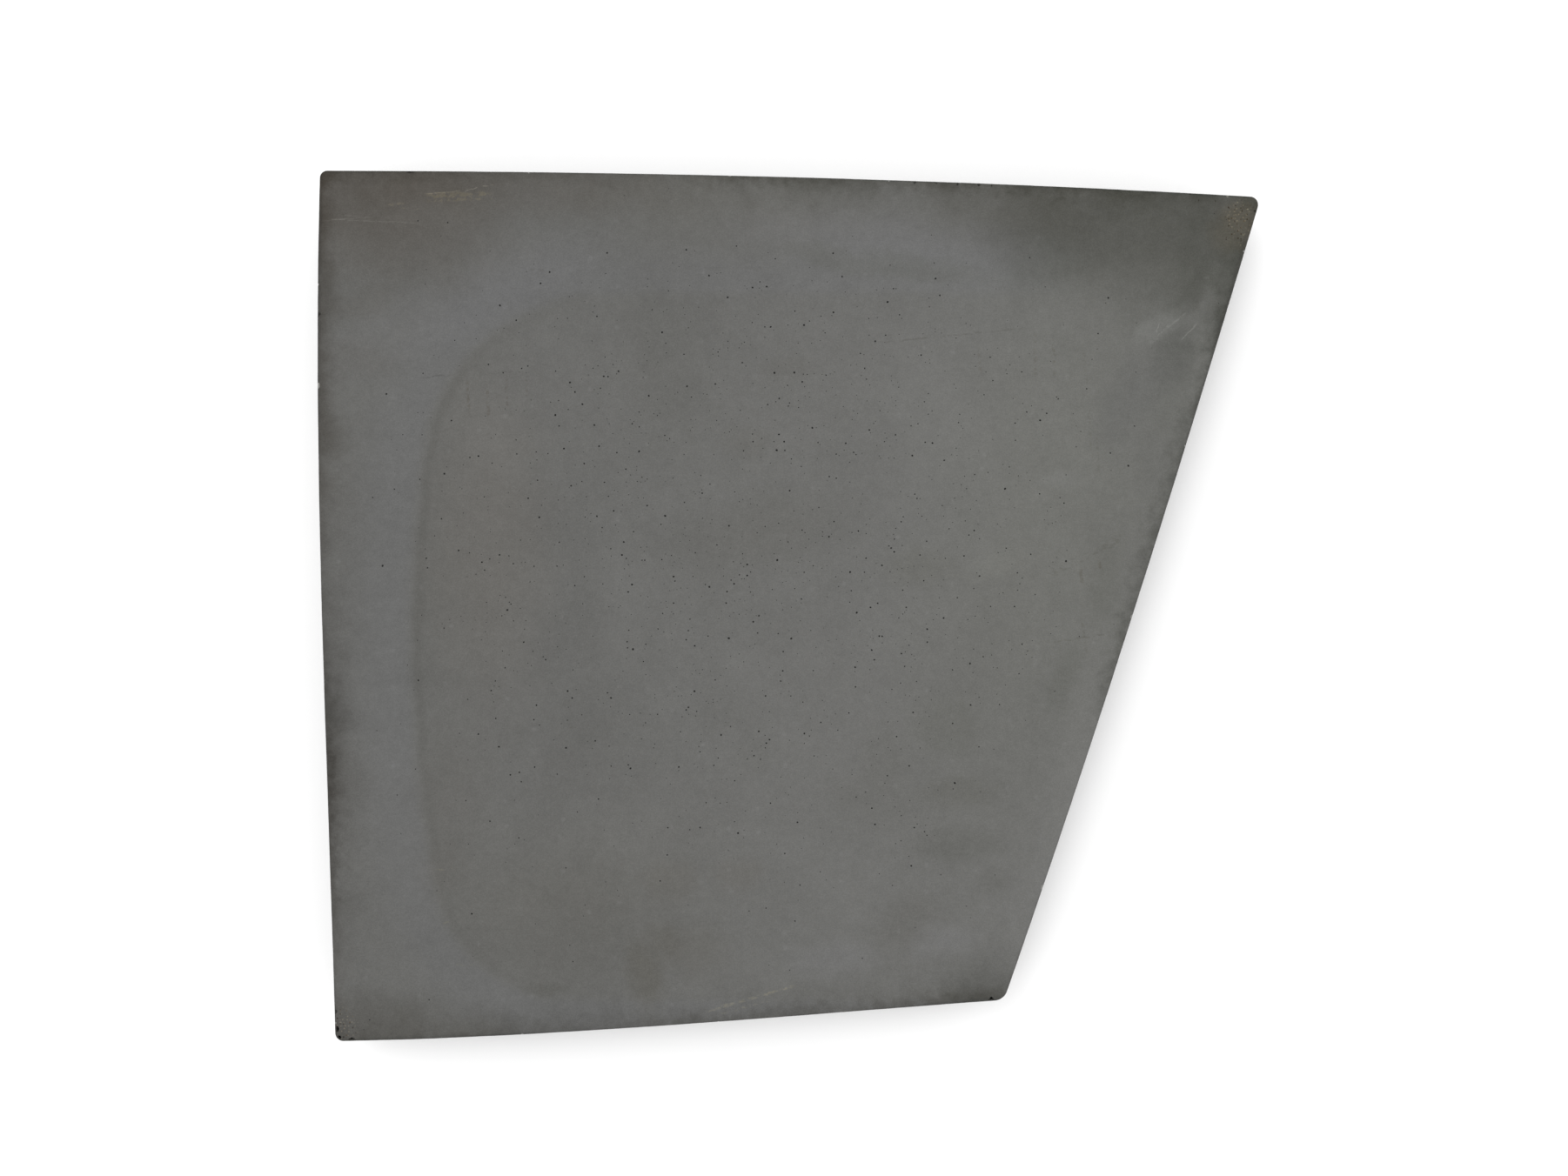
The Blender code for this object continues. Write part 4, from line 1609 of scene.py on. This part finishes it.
class MakeStage(bpy.types.Operator):
    """Make the plain floor, the soft lights and the camera"""

    bl_idname = "tooling_slab.make_stage"
    bl_label = "Stage"

    def execute(self, context):
        sizes = context.scene.stage_sizes
        half = sizes.floor_size / 2.0
        mesh = bpy.data.meshes.new("floor")
        corners = ((-1, -1), (1, -1), (1, 1), (-1, 1))
        places = [(x * half, y * half, FLOOR_HEIGHT) for x, y in corners]
        mesh.from_pydata(places, [], [(0, 1, 2, 3)])
        floor = bpy.data.objects.new("floor", mesh)
        context.scene.collection.objects.link(floor)
        material, _, shader = plain_shader("floor", 0.9, 0.2)
        shader.inputs["Base Color"].default_value = (*sizes.floor_colour, 1.0)
        mesh.materials.append(material)

        world = bpy.data.worlds.new("studio")
        context.scene.world = world
        world.use_nodes = True
        sky = world.node_tree.nodes["Background"]
        sky.inputs["Color"].default_value = (1.0, 1.0, 1.0, 1.0)
        sky.inputs["Strength"].default_value = sizes.sky_strength

        lamp = bpy.data.lights.new("key", "AREA")
        lamp.shape = "SQUARE"
        lamp.size = KEY_SIZE
        lamp.energy = sizes.key_power
        key = bpy.data.objects.new("key", lamp)
        key.location = KEY_PLACE
        aim = Vector((0.0, 0.0, SLAB_HIGH.z)) - key.location
        key.rotation_euler = aim.to_track_quat("-Z", "Y").to_euler()
        context.scene.collection.objects.link(key)

        lens = bpy.data.cameras.new("camera")
        lens.lens = sizes.lens
        lens.sensor_width = SENSOR_WIDTH
        camera = bpy.data.objects.new("camera", lens)
        camera.location = (*CAMERA_OVER, SLAB_HIGH.z + sizes.camera_height)
        context.scene.collection.objects.link(camera)
        context.scene.camera = camera
        context.scene.view_settings.view_transform = "Standard"
        context.scene.view_settings.look = "None"
        return {"FINISHED"}


class SlabPanel(bpy.types.Panel):
    """Lists the tooling slab's pieces, sizes and colours"""

    bl_idname = "VIEW3D_PT_tooling_slab"
    bl_label = "Tooling slab"
    bl_space_type = "VIEW_3D"
    bl_region_type = "UI"
    bl_category = "Tooling slab"

    def draw(self, context):
        for group, operators in PANEL_ROWS:
            box = self.layout.box()
            sizes = getattr(context.scene, group)
            for name in sizes.bl_rna.properties.keys():
                if name not in ("rna_type", "name"):
                    box.prop(sizes, name)
            for operator in operators:
                box.operator(operator)


PANEL_ROWS = (
    ("slab_sizes", ("tooling_slab.make_slab",)),
    ("foot_sizes", ("tooling_slab.make_feet", "tooling_slab.make_discs")),
    ("stage_sizes", ("tooling_slab.make_stage",)),
)
CLASSES = (SlabSizes, FootSizes, StageSizes, MakeSlab, MakeFeet, MakeDiscs, MakeStage, SlabPanel)


def register():
    """Register the classes, and keep the sizes on the scene."""
    for kind in CLASSES:
        bpy.utils.register_class(kind)
    bpy.types.Scene.slab_sizes = bpy.props.PointerProperty(type=SlabSizes)
    bpy.types.Scene.foot_sizes = bpy.props.PointerProperty(type=FootSizes)
    bpy.types.Scene.stage_sizes = bpy.props.PointerProperty(type=StageSizes)


def unregister():
    """Take the sizes and the classes away again."""
    del bpy.types.Scene.stage_sizes
    del bpy.types.Scene.foot_sizes
    del bpy.types.Scene.slab_sizes
    for kind in reversed(CLASSES):
        bpy.utils.unregister_class(kind)


def main():
    """Make every piece in order."""
    register()
    bpy.ops.tooling_slab.make_slab()
    bpy.ops.tooling_slab.make_feet()
    bpy.ops.tooling_slab.make_discs()
    bpy.ops.tooling_slab.make_stage()


if __name__ == "__main__":
    main()
